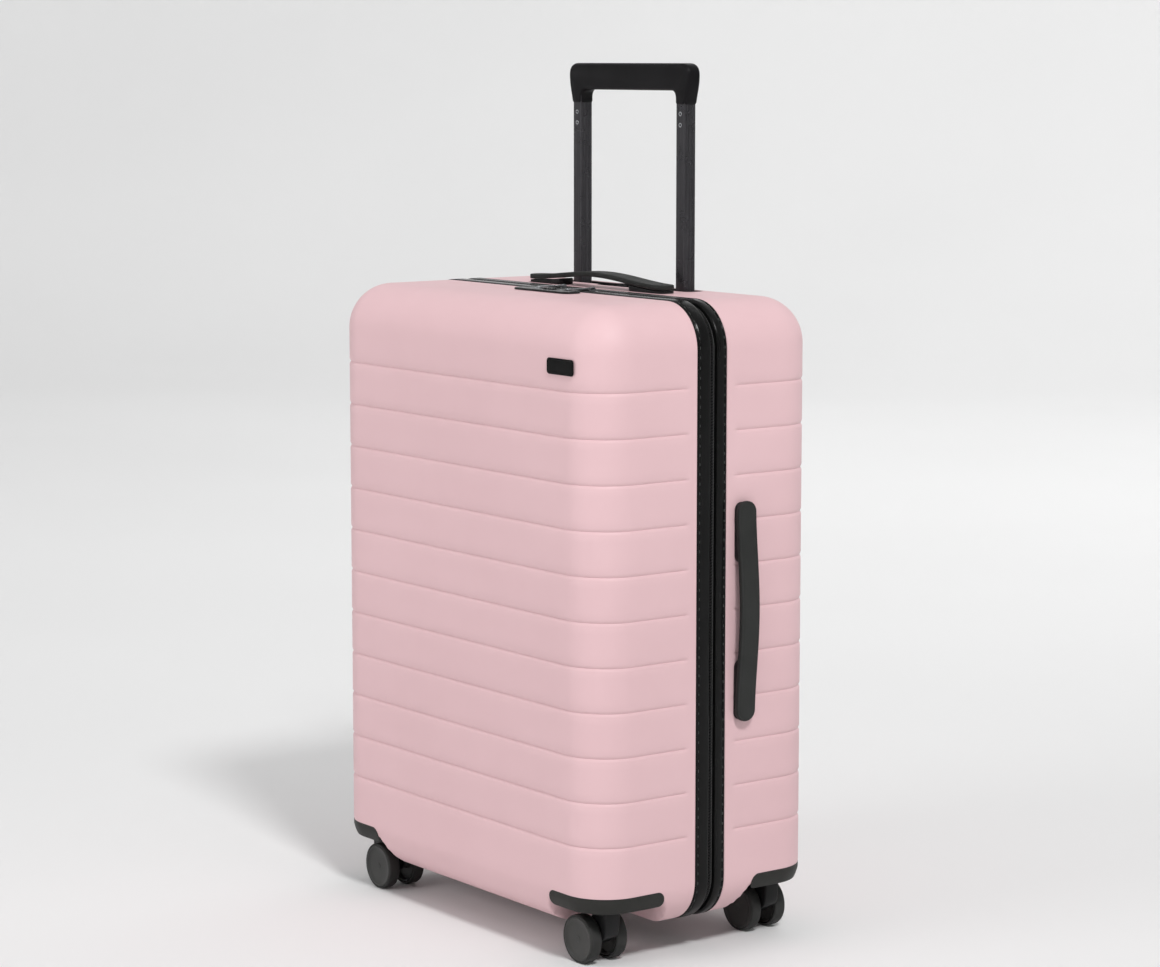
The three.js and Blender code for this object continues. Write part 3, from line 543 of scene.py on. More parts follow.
def grid_lines(offset, sign, rim, grooved, extra_x, extra_z):
    """X, Y and Z lines of half the case, before its edges are rounded."""
    radius = EDGE - offset
    half = [value - offset for value in HALF]
    inner = [value - EDGE for value in HALF]
    right = spaced(0, 126, 14) + spaced(126, inner[0], 3.6)[1:] + extra_x
    right = sorted(set(right)) + edge_lines(half[0], 8, radius)
    xs = [-x for x in reversed(right) if x > 0] + right
    reach = spaced(inner[1], 38, 3.6) + spaced(38, abs(rim) + 4, 2.4)[1:]
    lip = [abs(rim) + d for d in (2.6, 1.6, 0.9, 0.4, 0.0)]
    ys = [sign * y for y in list(reversed(edge_lines(half[1], 9, radius))) + reach + lip]
    middle = {-inner[2], inner[2], -inner[2] + 8, *extra_z}
    for i in range(GROOVE_COUNT):
        z = TOP_GROOVE_Z - i * GROOVE_PITCH - MIDDLE_Z
        middle.update((z - 22.5, z - 11, z + 11))
        if grooved:
            middle.update(z + d for d in (-3.2, -2.0, -0.9, 0, 0.9, 2.0, 3.2))
    low = [-z for z in reversed(edge_lines(half[2], 16, radius))]
    zs = low + sorted(middle) + edge_lines(half[2], 9, radius)
    return xs, ys, zs


def half_case(name, sign, rim, offset=0.0, grooved=True, extra_x=(), extra_z=(), limit=None):
    """Outer skin of one half of the case, open at the rim."""
    xs, ys, zs = grid_lines(offset, sign, rim, grooved, list(extra_x), list(extra_z))
    inner = [value - EDGE for value in HALF]
    radius = EDGE - offset
    verts = []
    found = {}

    def vertex(i, j, k):
        if (i, j, k) in found:
            return found[(i, j, k)]
        q = Vector((xs[i], ys[j], zs[k]))
        c = Vector([min(max(v, -m), m) for v, m in zip(q, inner)])
        if j == len(ys) - 1 or abs(q.y) < inner[1]:
            c.y = q.y
        d = q - c
        n = d.normalized() if d.length > 1e-6 else Vector((0, sign, 0))
        p = c + n * radius
        p.z += MIDDLE_Z
        if grooved:
            clear = smooth_step((abs(p.y - rim) - 9) / 5)
            p -= n * groove_at(p.z) * clear if abs(n.z) < 1e-3 else Vector((0, 0, 0))
        tuck = max(0.0, 1.6 - abs(p.y - rim)) / 1.6
        if not offset:
            p -= n * 1.3 * (1 - math.sqrt(max(0.0, 1 - tuck * tuck)))
        p.z = raised(p.z, recess_height(p.x, p.y, offset))
        if limit:
            p.y = min(p.y, limit(p.x, p.z))
        found[(i, j, k)] = len(verts)
        verts.append(tuple(p))
        return found[(i, j, k)]

    faces = []
    nx, ny, nz = len(xs) - 1, len(ys) - 1, len(zs) - 1
    for i in range(nx):
        for k in range(nz):
            ring = ((i, 0, k), (i + 1, 0, k), (i + 1, 0, k + 1), (i, 0, k + 1))
            faces.append([vertex(*corner) for corner in ring])
    for j in range(ny):
        for k in range(nz):
            for i in (0, nx):
                ring = ((i, j, k), (i, j + 1, k), (i, j + 1, k + 1), (i, j, k + 1))
                faces.append([vertex(*corner) for corner in ring])
        for i in range(nx):
            for k in (0, nz):
                ring = ((i, j, k), (i + 1, j, k), (i + 1, j + 1, k), (i, j + 1, k))
                faces.append([vertex(*corner) for corner in ring])
    return new_object(name, verts, faces)


def outward(obj, sign):
    """Turns an open skin so that its faces look away from the case."""
    mesh = obj.data
    biggest = max(mesh.polygons, key=lambda p: p.area * abs(p.normal.y))
    if biggest.normal.y * sign < 0:
        mesh.flip_normals()


def tray_outline(name, grow, low, high):
    slot_outline = round_corners(TRAY_HALF + grow, TRAY_HALF_DEPTH + grow, TRAY_CORNER + grow)
    scoop_outline = round_corners(SCOOP_HALF + grow, SCOOP_HALF_DEPTH + grow, SCOOP_CORNER + grow)
    long = prism(name, moved(slot_outline, 0, TUBE_Y), low, high, plan)
    scoop = prism("scoop", moved(scoop_outline, 0, TUBE_Y), low - 0.01, high + 0.01, plan)
    return join(long, scoop)


for end, sign, rim in (("front", -1, RIM_FRONT), ("rear", 1, RIM_REAR)):
    skin = half_case(f"{end}_shell_skin", sign, rim)
    outward(skin, sign)
    modify(skin, "SOLIDIFY", thickness=WALL / MM, offset=-1.0, use_even_offset=True)
    settle(skin)
    if end == "rear":
        carve(skin, tray_outline("tray_cut", 2.3, TRAY_FLOOR - 10, TOP + 20))
    else:
        cut_low = (LOCK_X - 27.3, LOCK_Y - 7.8, TOP - 20)
        cut_high = (LOCK_X + 27.3, LOCK_Y + 7.8, TOP + 20)
        carve(skin, block("lock_cut", cut_low, cut_high))
    place(skin, "shell", f"{end}_case", [f"{end}_shell"], 50)


def ridge_limit(x, z):
    """How far back the rear lining may go, in front of the pull handle's fixed pieces."""
    if abs(x) < TRAY_HALF + 2.8 and z > TRAY_FLOOR - 3:
        return TUBE_Y - 20.7
    if abs(abs(x) - TUBE_X) < 10.2 or (abs(x) < TUBE_X + 10.2 and z < 73.2):
        return TUBE_Y - 10.1
    return DEPTH


def clear_lock(lining):
    """Lowers the front lining under the boss of the lock."""
    for v in lining.data.vertices:
        x, y, z = (1000 * c for c in v.co)
        if LOCK_X - 28.6 < x - SHIFT < LOCK_X + 28.6 and LOCK_Y - 12 < y < LOCK_Y + 10.6:
            v.co.z = min(z, TOP - 12.4) / 1000


def fabric(obj, body, nodes):
    """Gives a fitted fabric piece a thin wall, its look and its body."""
    modify(obj, "SOLIDIFY", thickness=0.0008, offset=-1.0)
    settle(obj)
    place(obj, "lining" if "lining" in obj.name else "tape", body, nodes, 60)


for end, sign, rim in (("front", -1, RIM_FRONT - 1.0), ("rear", 1, RIM_REAR + 1.0)):
    rear = end == "rear"
    lining = half_case(
        f"{end}_lining_cloth",
        sign,
        rim,
        LINING_OFFSET,
        False,
        [TUBE_X - 10.5, TUBE_X - 10.1, TUBE_X + 10.1, TUBE_X + 10.5, TRAY_HALF + 2.6, TRAY_HALF + 3.0]
        if rear
        else [28.5 - LOCK_X, 30 - LOCK_X, LOCK_X + 28.5, LOCK_X + 30],
        (TRAY_FLOOR - 3.4 - MIDDLE_Z, TRAY_FLOOR - 2.9 - MIDDLE_Z) if rear else (),
        ridge_limit if rear else None,
    )
    outward(lining, sign)
    if not rear:
        clear_lock(lining)
    fabric(lining, f"{end}_case", [f"{end}_lining"])

# ---------- rim ----------

STRAIGHT_X = WIDTH / 2 - EDGE
STRAIGHT_Z = HALF[2] - EDGE
QUARTER = EDGE * math.pi / 2
PERIMETER = 4 * (STRAIGHT_X + STRAIGHT_Z + QUARTER)


def rim_at(s):
    """Position (x, z) and outward direction on the rim, clockwise from the top's middle."""
    s %= PERIMETER
    legs = (
        ("line", STRAIGHT_X, (0, 1), (0, HALF[2]), (1, 0)),
        ("arc", QUARTER, (STRAIGHT_X, STRAIGHT_Z), 90),
        ("line", 2 * STRAIGHT_Z, (1, 0), (WIDTH / 2, STRAIGHT_Z), (0, -1)),
        ("arc", QUARTER, (STRAIGHT_X, -STRAIGHT_Z), 0),
        ("line", 2 * STRAIGHT_X, (0, -1), (STRAIGHT_X, -HALF[2]), (-1, 0)),
        ("arc", QUARTER, (-STRAIGHT_X, -STRAIGHT_Z), -90),
        ("line", 2 * STRAIGHT_Z, (-1, 0), (-WIDTH / 2, -STRAIGHT_Z), (0, 1)),
        ("arc", QUARTER, (-STRAIGHT_X, STRAIGHT_Z), 180),
        ("line", STRAIGHT_X + 1, (0, 1), (-STRAIGHT_X, HALF[2]), (1, 0)),
    )
    for leg in legs:
        if s > leg[1]:
            s -= leg[1]
            continue
        if leg[0] == "line":
            _, _, normal, start, run = leg
            return (start[0] + run[0] * s, start[1] + run[1] * s + MIDDLE_Z), normal
        _, _, middle, first = leg
        angle = math.radians(first - 90 * s / QUARTER)
        normal = (math.cos(angle), math.sin(angle))
        return (middle[0] + EDGE * normal[0], middle[1] + EDGE * normal[1] + MIDDLE_Z), normal
    raise ValueError("past the end of the rim")


def rim_stations(first, last):
    """Distances along the rim: close on the corners, and the ends of each straight."""
    marks = [first, last]
    s = 0.0
    side = 2 * STRAIGHT_Z
    for length in (STRAIGHT_X, QUARTER, side, QUARTER, 2 * STRAIGHT_X, QUARTER, side, QUARTER):
        steps = 14 if length == QUARTER else max(1, round(length / 60))
        marks += [s + length * i / steps for i in range(steps + 1)]
        s += length
    return sorted({round(m, 4) for m in marks if first <= m <= last})


def swept(name, profile, first=0.0, last=None):
    """A closed profile of (y, height) pairs carried along the rim."""
    whole = last is None
    stations = rim_stations(first, PERIMETER if whole else last)
    if whole:
        stations = stations[:-1]
    verts = []
    for s in stations:
        (x, z), (nx, nz) = rim_at(s)
        verts += [(x + nx * h, y, z + nz * h) for y, h in profile]
    count = len(profile)
    faces = []
    runs = len(stations) if whole else len(stations) - 1
    for i in range(runs):
        one, two = i * count, ((i + 1) % len(stations)) * count
        for j in range(count):
            k = (j + 1) % count
            faces.append((one + j, one + k, two + k, two + j))
    if not whole:
        faces += [tuple(range(count)), tuple(range(len(verts) - count, len(verts)))]
    return new_object(name, verts, faces)


def band_profile(outer, inner):
    """From the edge beside the shell to the edge beside the zip."""
    d = 1 if inner > outer else -1
    edge = [(0, -5.6), (0, -0.7), (0.25, 0.1), (0.7, 0.6), (1.2, 0.75), (1.8, 0.55), (2.2, 0.1), (2.6, -0.15),
            (3.1, 0.05), (3.7, 0.45), (4.8, 0.72)]
    far = [(-3.6, 0.75), (-2.0, 0.55), (-0.9, -0.05), (-0.25, -1.1), (0, -2.4), (0, -5.6)]
    return [(outer + d * y, h) for y, h in edge] + [(inner + d * y, h) for y, h in far]


def stitches(name, y):
    """Short raised threads, one after another along the seam."""
    verts = []
    faces = []
    pitch = PERIMETER / round(PERIMETER / 9.6)
    for i in range(round(PERIMETER / pitch)):
        s = i * pitch + random.uniform(-0.5, 0.5)
        length = random.uniform(2.6, 3.6)
        start = len(verts)
        rings = ((-0.5, 0.05), (-0.36, 0.36), (0, 0.46), (0.36, 0.36), (0.5, 0.05))
        for along, radius in rings:
            (x, z), (nx, nz) = rim_at(s + along * length)
            for corner in range(6):
                angle = math.pi / 3 * corner
                up = 0.12 + radius * math.sin(angle)
                verts.append((x + nx * up, y + radius * math.cos(angle), z + nz * up))
        for ring in range(len(rings) - 1):
            for corner in range(6):
                a = start + ring * 6 + corner
                b = start + ring * 6 + (corner + 1) % 6
                faces.append((a, b, b + 6, a + 6))
        faces += [tuple(start + c for c in range(6)), tuple(start + 24 + c for c in range(6))]
    return new_object(name, verts, faces)


for end, outer, inner in (("front", RIM_FRONT + GAP, ZIP_Y - 3.4), ("rear", RIM_REAR - GAP, ZIP_Y + 3.4)):
    binding = swept(f"{end}_binding", band_profile(outer, inner))
    place(binding, "binding", f"{end}_case", [f"{end}_band"], 50)
    seam = outer + (2.55 if end == "front" else -2.55)
    place(stitches(f"{end}_stitching", seam), "thread", f"{end}_case")

# ---------- zip ----------

CHAIN_START = -(STRAIGHT_X)
CHAIN_END = STRAIGHT_X + 2 * QUARTER + 2 * STRAIGHT_Z + 2 * STRAIGHT_X


def chain_stations():
    return [CHAIN_START + (CHAIN_END - CHAIN_START) * i / 180 for i in range(181)]


def zip_tape(name, near, far):
    """Woven tape beside the teeth, thicker where it meets them."""
    profile = [(near, -4.9), (near, -4.1), (near + (far - near) * 0.3, -3.7), (near + (far - near) * 0.6, -4.0),
               (far, -4.2), (far, -4.9)]
    stations = chain_stations()
    verts = []
    for s in stations:
        (x, z), (nx, nz) = rim_at(s)
        verts += [(x + nx * h, y, z + nz * h) for y, h in profile]
    count = len(profile)
    faces = [tuple(range(count)), tuple(range(len(verts) - count, len(verts)))]
    for i in range(len(stations) - 1):
        for j in range(count):
            k = (j + 1) % count
            faces.append((i * count + j, i * count + k, (i + 1) * count + k, (i + 1) * count + j))
    return new_object(name, verts, faces)


def zip_teeth(name, sign):
    """Moulded teeth that reach across the middle, in step with the other side's gaps."""
    pitch = 3.0
    verts = []
    faces = []
    count = int((CHAIN_END - CHAIN_START) / pitch) - 1
    shape = ((-1.9, 0.55), (-0.3, 0.5), (0.25, 0.62), (0.7, 0.4))
    for i in range(count):
        s = CHAIN_START + (i + (0.75 if sign > 0 else 0.25)) * pitch
        start = len(verts)
        for across, half in shape:
            y = ZIP_Y - sign * across
            for along, height in ((-half, -4.05), (-half * 0.8, -3.45), (half * 0.8, -3.45), (half, -4.05)):
                (x, z), (nx, nz) = rim_at(s + along)
                verts.append((x + nx * height, y, z + nz * height))
        for ring in range(len(shape) - 1):
            for corner in range(4):
                a = start + ring * 4 + corner
                b = start + ring * 4 + (corner + 1) % 4
                faces.append((a, b, b + 4, a + 4))
        faces += [tuple(start + c for c in range(4)), tuple(start + 12 + c for c in range(4))]
    return new_object(name, verts, faces)


for end, sign in (("front", -1), ("rear", 1)):
    tape = zip_tape(f"{end}_zip_tape", ZIP_Y + sign * 1.0, ZIP_Y + sign * 3.1)
    place(tape, "tape", f"{end}_case", [f"{end}_zip_chain"])
    teeth = zip_teeth(f"{end}_zip_teeth", sign)
    place(teeth, "coil", f"{end}_case", (), 25)

hinge_low, hinge_high = [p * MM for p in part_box("hinge_tape")]
HINGE_X = hinge_low.x - SHIFT + 0.25
hinge_verts = []
hinge_faces = []
hinge_rows = [ZIP_Y - 12 + 24 * i / 24 for i in range(25)]
hinge_columns = spaced(hinge_low.z, hinge_high.z, 8)
for z in hinge_columns:
    end_fade = min(z - hinge_low.z, hinge_high.z - z)
    for y in hinge_rows:
        ripple = 0.25 * math.sin(z / 7.3) * math.cos(y / 5) * min(1, end_fade / 20)
        hinge_verts.append((HINGE_X + 0.35 + ripple, y, z))
for i in range(len(hinge_columns) - 1):
    for j in range(24):
        a = i * 25 + j
        hinge_faces.append((a, a + 1, a + 26, a + 25))
hinge = new_object("hinge_webbing", hinge_verts, hinge_faces)
modify(hinge, "SOLIDIFY", thickness=0.0006, offset=0.0)
settle(hinge)
hinge.data.materials.append(LOOKS["tape"])
hinge.data.polygons.foreach_set("use_smooth", [True] * len(hinge.data.polygons))
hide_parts("hinge_tape")
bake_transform(hinge)

# ---------- corner guards ----------

GUARD_LOW = 58.0
GUARD_HIGH = 74.0
GUARD_HALF = (GUARD_HIGH - GUARD_LOW) / 2
GUARD_THICKNESS = 0.9
GUARD_REACH = (79.0, 86.0)
GUARD_SLANT = 3.0
PLATE_X = (160.0, 228.0)
PLATE_Y = (62.0, 135.0)
PLATE_CORNER = 33.0


def guard(name, sign_x, sign_y):
    """Nearly upright guard round a bottom corner: its back follows the rounded shell."""
    run_x = GUARD_REACH[0] - EDGE
    run_y = GUARD_REACH[1] - EDGE
    bend = 40.0 * math.pi / 2
    length = run_x + bend + run_y
    corner_x, corner_y = WIDTH / 2 - EDGE, DEPTH / 2 - EDGE

    def lay(a, b, h):
        z = (GUARD_LOW + GUARD_HIGH) / 2 + b
        below = max(0.0, BOTTOM + EDGE - z)
        back = math.sqrt(EDGE * EDGE - below * below) + 0.03
        face = min(EDGE, back + GUARD_THICKNESS)
        out = back + (face - back) * h / 3
        s = a * (1 - GUARD_SLANT * b / GUARD_HALF / length) + length / 2
        if s < run_x:
            x, y = corner_x - (run_x - s), corner_y + out
        elif s < run_x + bend:
            angle = math.pi / 2 * (1 - (s - run_x) / bend)
            x, y = corner_x + out * math.cos(angle), corner_y + out * math.sin(angle)
        else:
            x, y = corner_x + out, corner_y - (s - run_x - bend)
        return (sign_x * x, sign_y * y, z)

    profile = [
        (0, 0.0), (0, 1.9), (0.3, 2.5), (0.8, 2.8), (1.4, 2.75), (1.7, 2.6), (2.2, 2.6), (2.6, 2.9),
        (3.2, 3.0),
    ]
    return pad(name, length / 2, GUARD_HALF, 7.0, profile, lay, 8, 60, 5)


def well_plate(name, sign_x, sign_y, pin):
    """Plate that lines the wheel recess roof, with ribs and a hole for the caster's socket."""
    half_x = (PLATE_X[1] - PLATE_X[0]) / 2
    half_y = (PLATE_Y[1] - PLATE_Y[0]) / 2
    middle = (sum(PLATE_X) / 2, sum(PLATE_Y) / 2)
    outline = moved(round_corners(half_x, half_y, PLATE_CORNER, 10), sign_x * middle[0], sign_y * middle[1])
    plate = prism(name, outline, 61.0, RECESS_ROOF - GAP, plan)
    ribs = []
    for i in range(4):
        x = sign_x * (PLATE_X[0] + 7 + i * 17)
        low = (x - 0.8, sign_y * middle[1] - half_y + 12, 59.8)
        ribs.append(block("rib", low, (x + 0.8, sign_y * middle[1] + half_y - 12, 61.5)))
    join(plate, *ribs)
    hole = prism("hole", moved(round_corners(19.4, 19.4, 19.4, 10), *pin), 50, 80, plan)
    return soften(carve(plate, hole), 0.4, 2, 50)


for end, sign_y in (("front", -1), ("rear", 1)):
    for side, sign_x in (("left", -1), ("right", 1)):
        spot = f"{end}_{side}"
        corner_guard = guard(f"guard_{spot}", sign_x, sign_y)
        place(corner_guard, "guard", f"{end}_case", [f"bumper_{spot}"])
        pin = centre(f"caster_socket_{spot}")[:2]
        lining_plate = well_plate(f"well_plate_{spot}", sign_x, sign_y, pin)
        place(lining_plate, "plastic", f"{end}_case")

# ---------- casters ----------

WHEEL_PROFILE = [
    (0, 21.6), (3.0, 21.6), (3.4, 21.2), (14.6, 21.1), (19.2, 21.5), (19.8, 21.9), (20.4, 22.3), (22.0, 22.3),
    (22.3, 21.7), (22.6, 21.9), (23.0, 22.2), (23.6, 22.2), (24.3, 21.7), (24.7, 20.7), (24.75, 19.5), (24.75, 12.0),
    (24.3, 10.3), (23.4, 9.4), (21.0, 9.2), (20.2, 9.8), (19.4, 15.0), (8.0, 15.0), (7.2, 9.6), (6.8, 9.2), (3.4, 9.2),
    (3.3, 18.8), (0, 18.8),
]


PIN_BORE = 4.4


def caster(spot, sign_x, end):
    pin_x, pin_y, _ = centre(f"caster_socket_{spot}")
    axle_x, _, axle_z = centre(f"caster_axle_{spot}")
    body = f"caster_{spot}"

    def flat(a, b, h):
        return (pin_x + sign_x * a, pin_y + h, b)

    outline = [
        (-10, 56.5), (-10, 48.5), (-11.5, 42), (-14, 37), (-17.5, 33.5), (-20, 30.5), (-21, 27), (-21, 22.5),
        (-19.6, 19.2), (-17, 17.2), (-13.5, 16.6), (-9.6, 17.2), (-5, 20), (0, 23), (4.5, 25), (8.5, 26.6),
        (11.4, 29.0), (13.6, 34), (14.8, 42), (15.2, 49), (15.2, 56.5),
    ]
    arm = soften(prism(f"fork_{spot}", outline, -8.5, 8.5, flat), 1.6, 3)
    bore = moved(round_corners(PIN_BORE, PIN_BORE, PIN_BORE, 10), pin_x, pin_y)
    carve(arm, prism("bore", bore, 37.5, 60, plan))
    collar = [(4.4, 51.4), (12.8, 51.4), (13.8, 52.2), (14, 53.2), (14, 56.2), (13.6, 56.9), (9, 57), (4.4, 57)]
    ring = lathe(f"fork_collar_{spot}", collar, lambda a, b, h: (pin_x + a, pin_y + b, h), 48)
    place(arm, "plastic", body, [f"caster_fork_{spot}"])
    place(ring, "plastic", body)

    plate = [
        (0, 63.7), (18.2, 63.7), (19, 63.2), (19, 60.2), (18.2, 59.2), (12.0, 58.4), (11.2, 57.4), (5.2, 57.4),
        (4.0, 57.3), (4.0, 39.0), (3.3, 38.2), (0, 38.2),
    ]
    socket = lathe(f"socket_{spot}", plate, lambda a, b, h: (pin_x + a, pin_y + b, h), 48)
    place(socket, "plastic", f"{end}_case", [f"caster_socket_{spot}"])
    axle = [(0, -18.2), (2.5, -18.2), (3, -17.6), (3, 17.6), (2.5, 18.2), (0, 18.2)]
    rod = lathe(f"axle_{spot}", axle, lambda a, b, h: (axle_x + a, pin_y + h, axle_z + b), 24)
    place(rod, "steel", body, [f"caster_axle_{spot}"])

    for letter, side in (("a", -1), ("b", 1)):
        disc = [(r, h) for r, h in WHEEL_PROFILE if r <= 22.3]
        tyre = [(r, h) for r, h in WHEEL_PROFILE if r > 22.3]

        def lay(a, b, h, side=side):
            return (axle_x + a, pin_y + side * h, axle_z + b)

        wheel = lathe(f"wheel_{letter}_{spot}", disc, lay)
        rolling = f"wheel_{letter}_{spot}"
        place(wheel, "wheel", rolling, [f"caster_wheel_{letter}_{spot}"], 30)
        rubber = lathe(f"tyre_{letter}_{spot}", tyre + [(22.35, 9.35), (22.35, 21.7)], lay)
        place(rubber, "tyre", rolling, (), 30)


for end in ("front", "rear"):
    for side, sign_x in (("left", -1), ("right", 1)):
        caster(f"{end}_{side}", sign_x, end)

# ---------- pull handle ----------


def fluted(half_x, half_y, radius):
    """Outline of an inner tube: rounded corners and two flutes on each side."""
    points = []
    for quarter, (sx, sy) in enumerate(((1, 1), (-1, 1), (-1, -1), (1, -1))):
        for i in range(5):
            angle = (quarter + i / 4) * math.pi / 2
            x = sx * (half_x - radius) + radius * math.cos(angle)
            y = sy * (half_y - radius) + radius * math.sin(angle)
            points.append((x, y))
        if quarter in (0, 2):
            continue
        x = -half_x if quarter == 1 else half_x
        inward = 1 if quarter == 1 else -1
        rows = (2.6, -2.6) if quarter == 1 else (-2.6, 2.6)
        for y in rows:
            d = -1 if quarter == 1 else 1
            for step, depth in ((-0.85, 0), (-0.6, 0.35), (-0.25, 0.6), (0.25, 0.6), (0.6, 0.35), (0.85, 0)):
                points.append((x + inward * depth, y + d * step))
    return points


for side, sign in (("left", -1), ("right", 1)):
    low, high = [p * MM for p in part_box(f"inner_tube_{side}")]
    outline = moved(fluted(7.0, 7.5, 1.3), sign * TUBE_X, TUBE_Y)
    tube = tube_between(f"tube_{side}", outline, low.z, high.z - 0.6, plan)
    modify(tube, "SOLIDIFY", thickness=0.0012, offset=-1.0)
    settle(tube)
    place(tube, "anodised", "pull_handle", [f"inner_tube_{side}"], 25)
    for number, z in enumerate((839.4, 828.0)):
        ring = [(1.3, -0.3), (2.3, -0.3), (2.3, 0.15), (2.1, 0.24), (1.6, 0.24), (1.3, 0.15)]
        core = [(0, -0.3), (1.3, -0.3), (1.3, 0.1), (0, 0.12)]
        for part, profile, look in (("ring", ring, "steel"), ("core", core, "grip")):
            rivet = lathe(
                f"rivet_{part}_{number}_{side}",
                profile,
                lambda a, b, h, z=z: (sign * TUBE_X + a, TUBE_Y - 7.4 - h, z + b),
                24,
            )
            place(rivet, look, "pull_handle")


def bezier(p0, p1, p2, p3, steps):
    points = []
    for i in range(steps):
        t = i / steps
        u = 1 - t
        points.append(tuple(
            u ** 3 * a + 3 * u * u * t * b + 3 * u * t * t * c + t ** 3 * d for a, b, c, d in zip(p0, p1, p2, p3)
        ))
    return points


def grip_outline():
    w, arm_out, arm_in, inner_top = 102.5, TUBE_X + 8.2, TUBE_X - 8.2, 863.0
    shoulder = (w, GRIP_TOP - 12)
    right = bezier((arm_out, ARM_BOTTOM), (w - 3, ARM_BOTTOM + 14), (w, GRIP_TOP - 24), shoulder, 10)
    right += bezier((w, GRIP_TOP - 12), (w, GRIP_TOP - 4), (w - 5, GRIP_TOP), (w - 14, GRIP_TOP), 10)
    right.append((w - 14, GRIP_TOP))
    left = [(-x, z) for x, z in reversed(right)]
    inner = [(-arm_in, ARM_BOTTOM)]
    start, end = (-arm_in, inner_top - 9), (9 - arm_in, inner_top)
    inner += bezier(start, (-arm_in, inner_top - 3), (3 - arm_in, inner_top), end, 8)
    inner.append((9 - arm_in, inner_top))
    return right + left + inner + [(-x, z) for x, z in reversed(inner)]


handle = prism("grip_body", grip_outline(), TUBE_Y - 8.5, TUBE_Y + 8.5, elevation)
soften(handle, 3.4, 5, 50)
carve(
    handle,
    block("slot", (-26.3, TUBE_Y - 4.3, 866), (26.3, TUBE_Y + 4.3, GRIP_TOP + 5)),
    block("channel", (-TUBE_X - 5, TUBE_Y - 4.2, 866.2), (TUBE_X + 5, TUBE_Y + 4.2, 878.3)),
    *(
        block("socket", (x - 7.4, TUBE_Y - 7.8, ARM_BOTTOM - 5), (x + 7.4, TUBE_Y + 7.8, ARM_BOTTOM + 20.3))
        for x in (-TUBE_X, TUBE_X)
    ),
)
place(handle, "grip", "pull_handle", ["grip"], 40)

button_profile = [(0, 878.8), (0, 889.0), (0.4, 889.9), (1.2, 890.3), (2.2, 890.1), (3.2, 889.9)]
button = pad("grip_button_cap", 26, 4, 3.6, button_profile, lambda a, b, h: (a, TUBE_Y + b, h), 6, 20, 2)
place(button, "plastic", "handle_release", ["grip_button"])

tray = tray_outline("handle_tray_cup", 2.0, TRAY_FLOOR - 2, TOP - 0.5)
carve(tray, tray_outline("tray_room", 0.0, TRAY_FLOOR, TOP + 40))
for sign in (-1, 1):
    x = sign * TUBE_X
    hole_low = (x - 7.3, TUBE_Y - 7.8, TRAY_FLOOR - 9)
    hole_high = (x + 7.3, TUBE_Y + 7.8, TRAY_FLOOR + 9)
    carve(tray, block("tube_hole", hole_low, hole_high))
soften(tray, 0.5, 2, 50)
place(tray, "plastic", "rear_case", ["handle_tray"], 40)

for node, look in (
    ("outer_tube_left", "anodised"), ("outer_tube_right", "anodised"), ("tube_bridge", "plastic"),
    ("glide_plug_left", "plastic"), ("glide_plug_right", "plastic"), ("release_yoke", "steel"),
):
    dress(node, look)

# ---------- carry handles ----------

STRAP_HALF_WIDTH = 11.5
STRAP_SEAT = 3.7
STRAP_PROFILE = [
    (0.9, 0), (0.3, 0.25), (0, 0.9), (0, 3.9), (0.25, 4.6), (0.8, 4.95), (1.3, 5.0), (1.7, 4.8), (2.2, 4.75),
    (2.8, 4.9), (5.0, 4.95),
]
SIDE_LENGTH = 223.0
SIDE_BOW = 6.5
TOP_LENGTH = 234.0
TOP_BOW = 7.7


def strap_lift(a, length, bow):
    """Height of a strap's underside, which bows away from the case between its two ends."""
    return STRAP_SEAT + bow * 0.5 * (1 + math.cos(2 * math.pi * a / length))


def on_top(a, b, h):
    return (a, 40 + b, TOP + h)


def on_side(a, b, h):
    return (WIDTH / 2 + h, 40 + b, 347.5 - a)


def carry_strap(name, length, bow, lay):
    def bowed(a, b, h):
        return lay(a, b, strap_lift(a, length, bow) + h)

    return pad(name, length / 2, STRAP_HALF_WIDTH, 10.8, STRAP_PROFILE, bowed, 8, 56, 6)


def seat_block(name, length, bow, first, side, lay):
    """Seat that fills the room under one end of a strap; side is the end it stands at."""
    inner = 1.2
    tip = length / 2 - inner
    half = (tip - first) / 2
    middle = (tip + first) / 2

    def under(a, b, h):
        along = middle + a
        height = GAP + (strap_lift(along, length, bow) - 0.9 - GAP) * h
        return lay(side * along, b, height)

    profile = [(0.5, 0), (0, 0.12), (0, 0.8), (0.25, 0.93), (0.8, 1.0)]
    return pad(name, half, STRAP_HALF_WIDTH - inner, 7.5, profile, under, 8, 16, 4)


for name, length, bow, lay, nodes in (
    ("top_strap", TOP_LENGTH, TOP_BOW, on_top, ["top_handle_strap"]),
    ("side_strap", SIDE_LENGTH, SIDE_BOW, on_side, ["side_handle_strap"]),
):
    place(carry_strap(name, length, bow, lay), "strap", "rear_case", nodes)
for side, sign in (("left", -1), ("right", 1)):
    foot = seat_block(f"top_foot_{side}", TOP_LENGTH, TOP_BOW, 57.0, sign, on_top)
    place(foot, "plastic", "rear_case", [f"top_handle_foot_{side}"])
for name, sign in (("lower", 1), ("upper", -1)):
    rest = seat_block(f"side_pad_{name}", SIDE_LENGTH, SIDE_BOW, 49.0, sign, on_side)
    place(rest, "plastic", "rear_case", [f"side_handle_pad_{name}"])

# ---------- badge, lock and zip pulls ----------

badge_profile = [(0, 0.3), (0, 1.0), (0.3, 1.45), (0.8, 1.6), (1.5, 1.6), (1.8, 1.25), (2.4, 1.2), (3.0, 1.3)]
BADGE_X = 178
BADGE_Z = 598.7


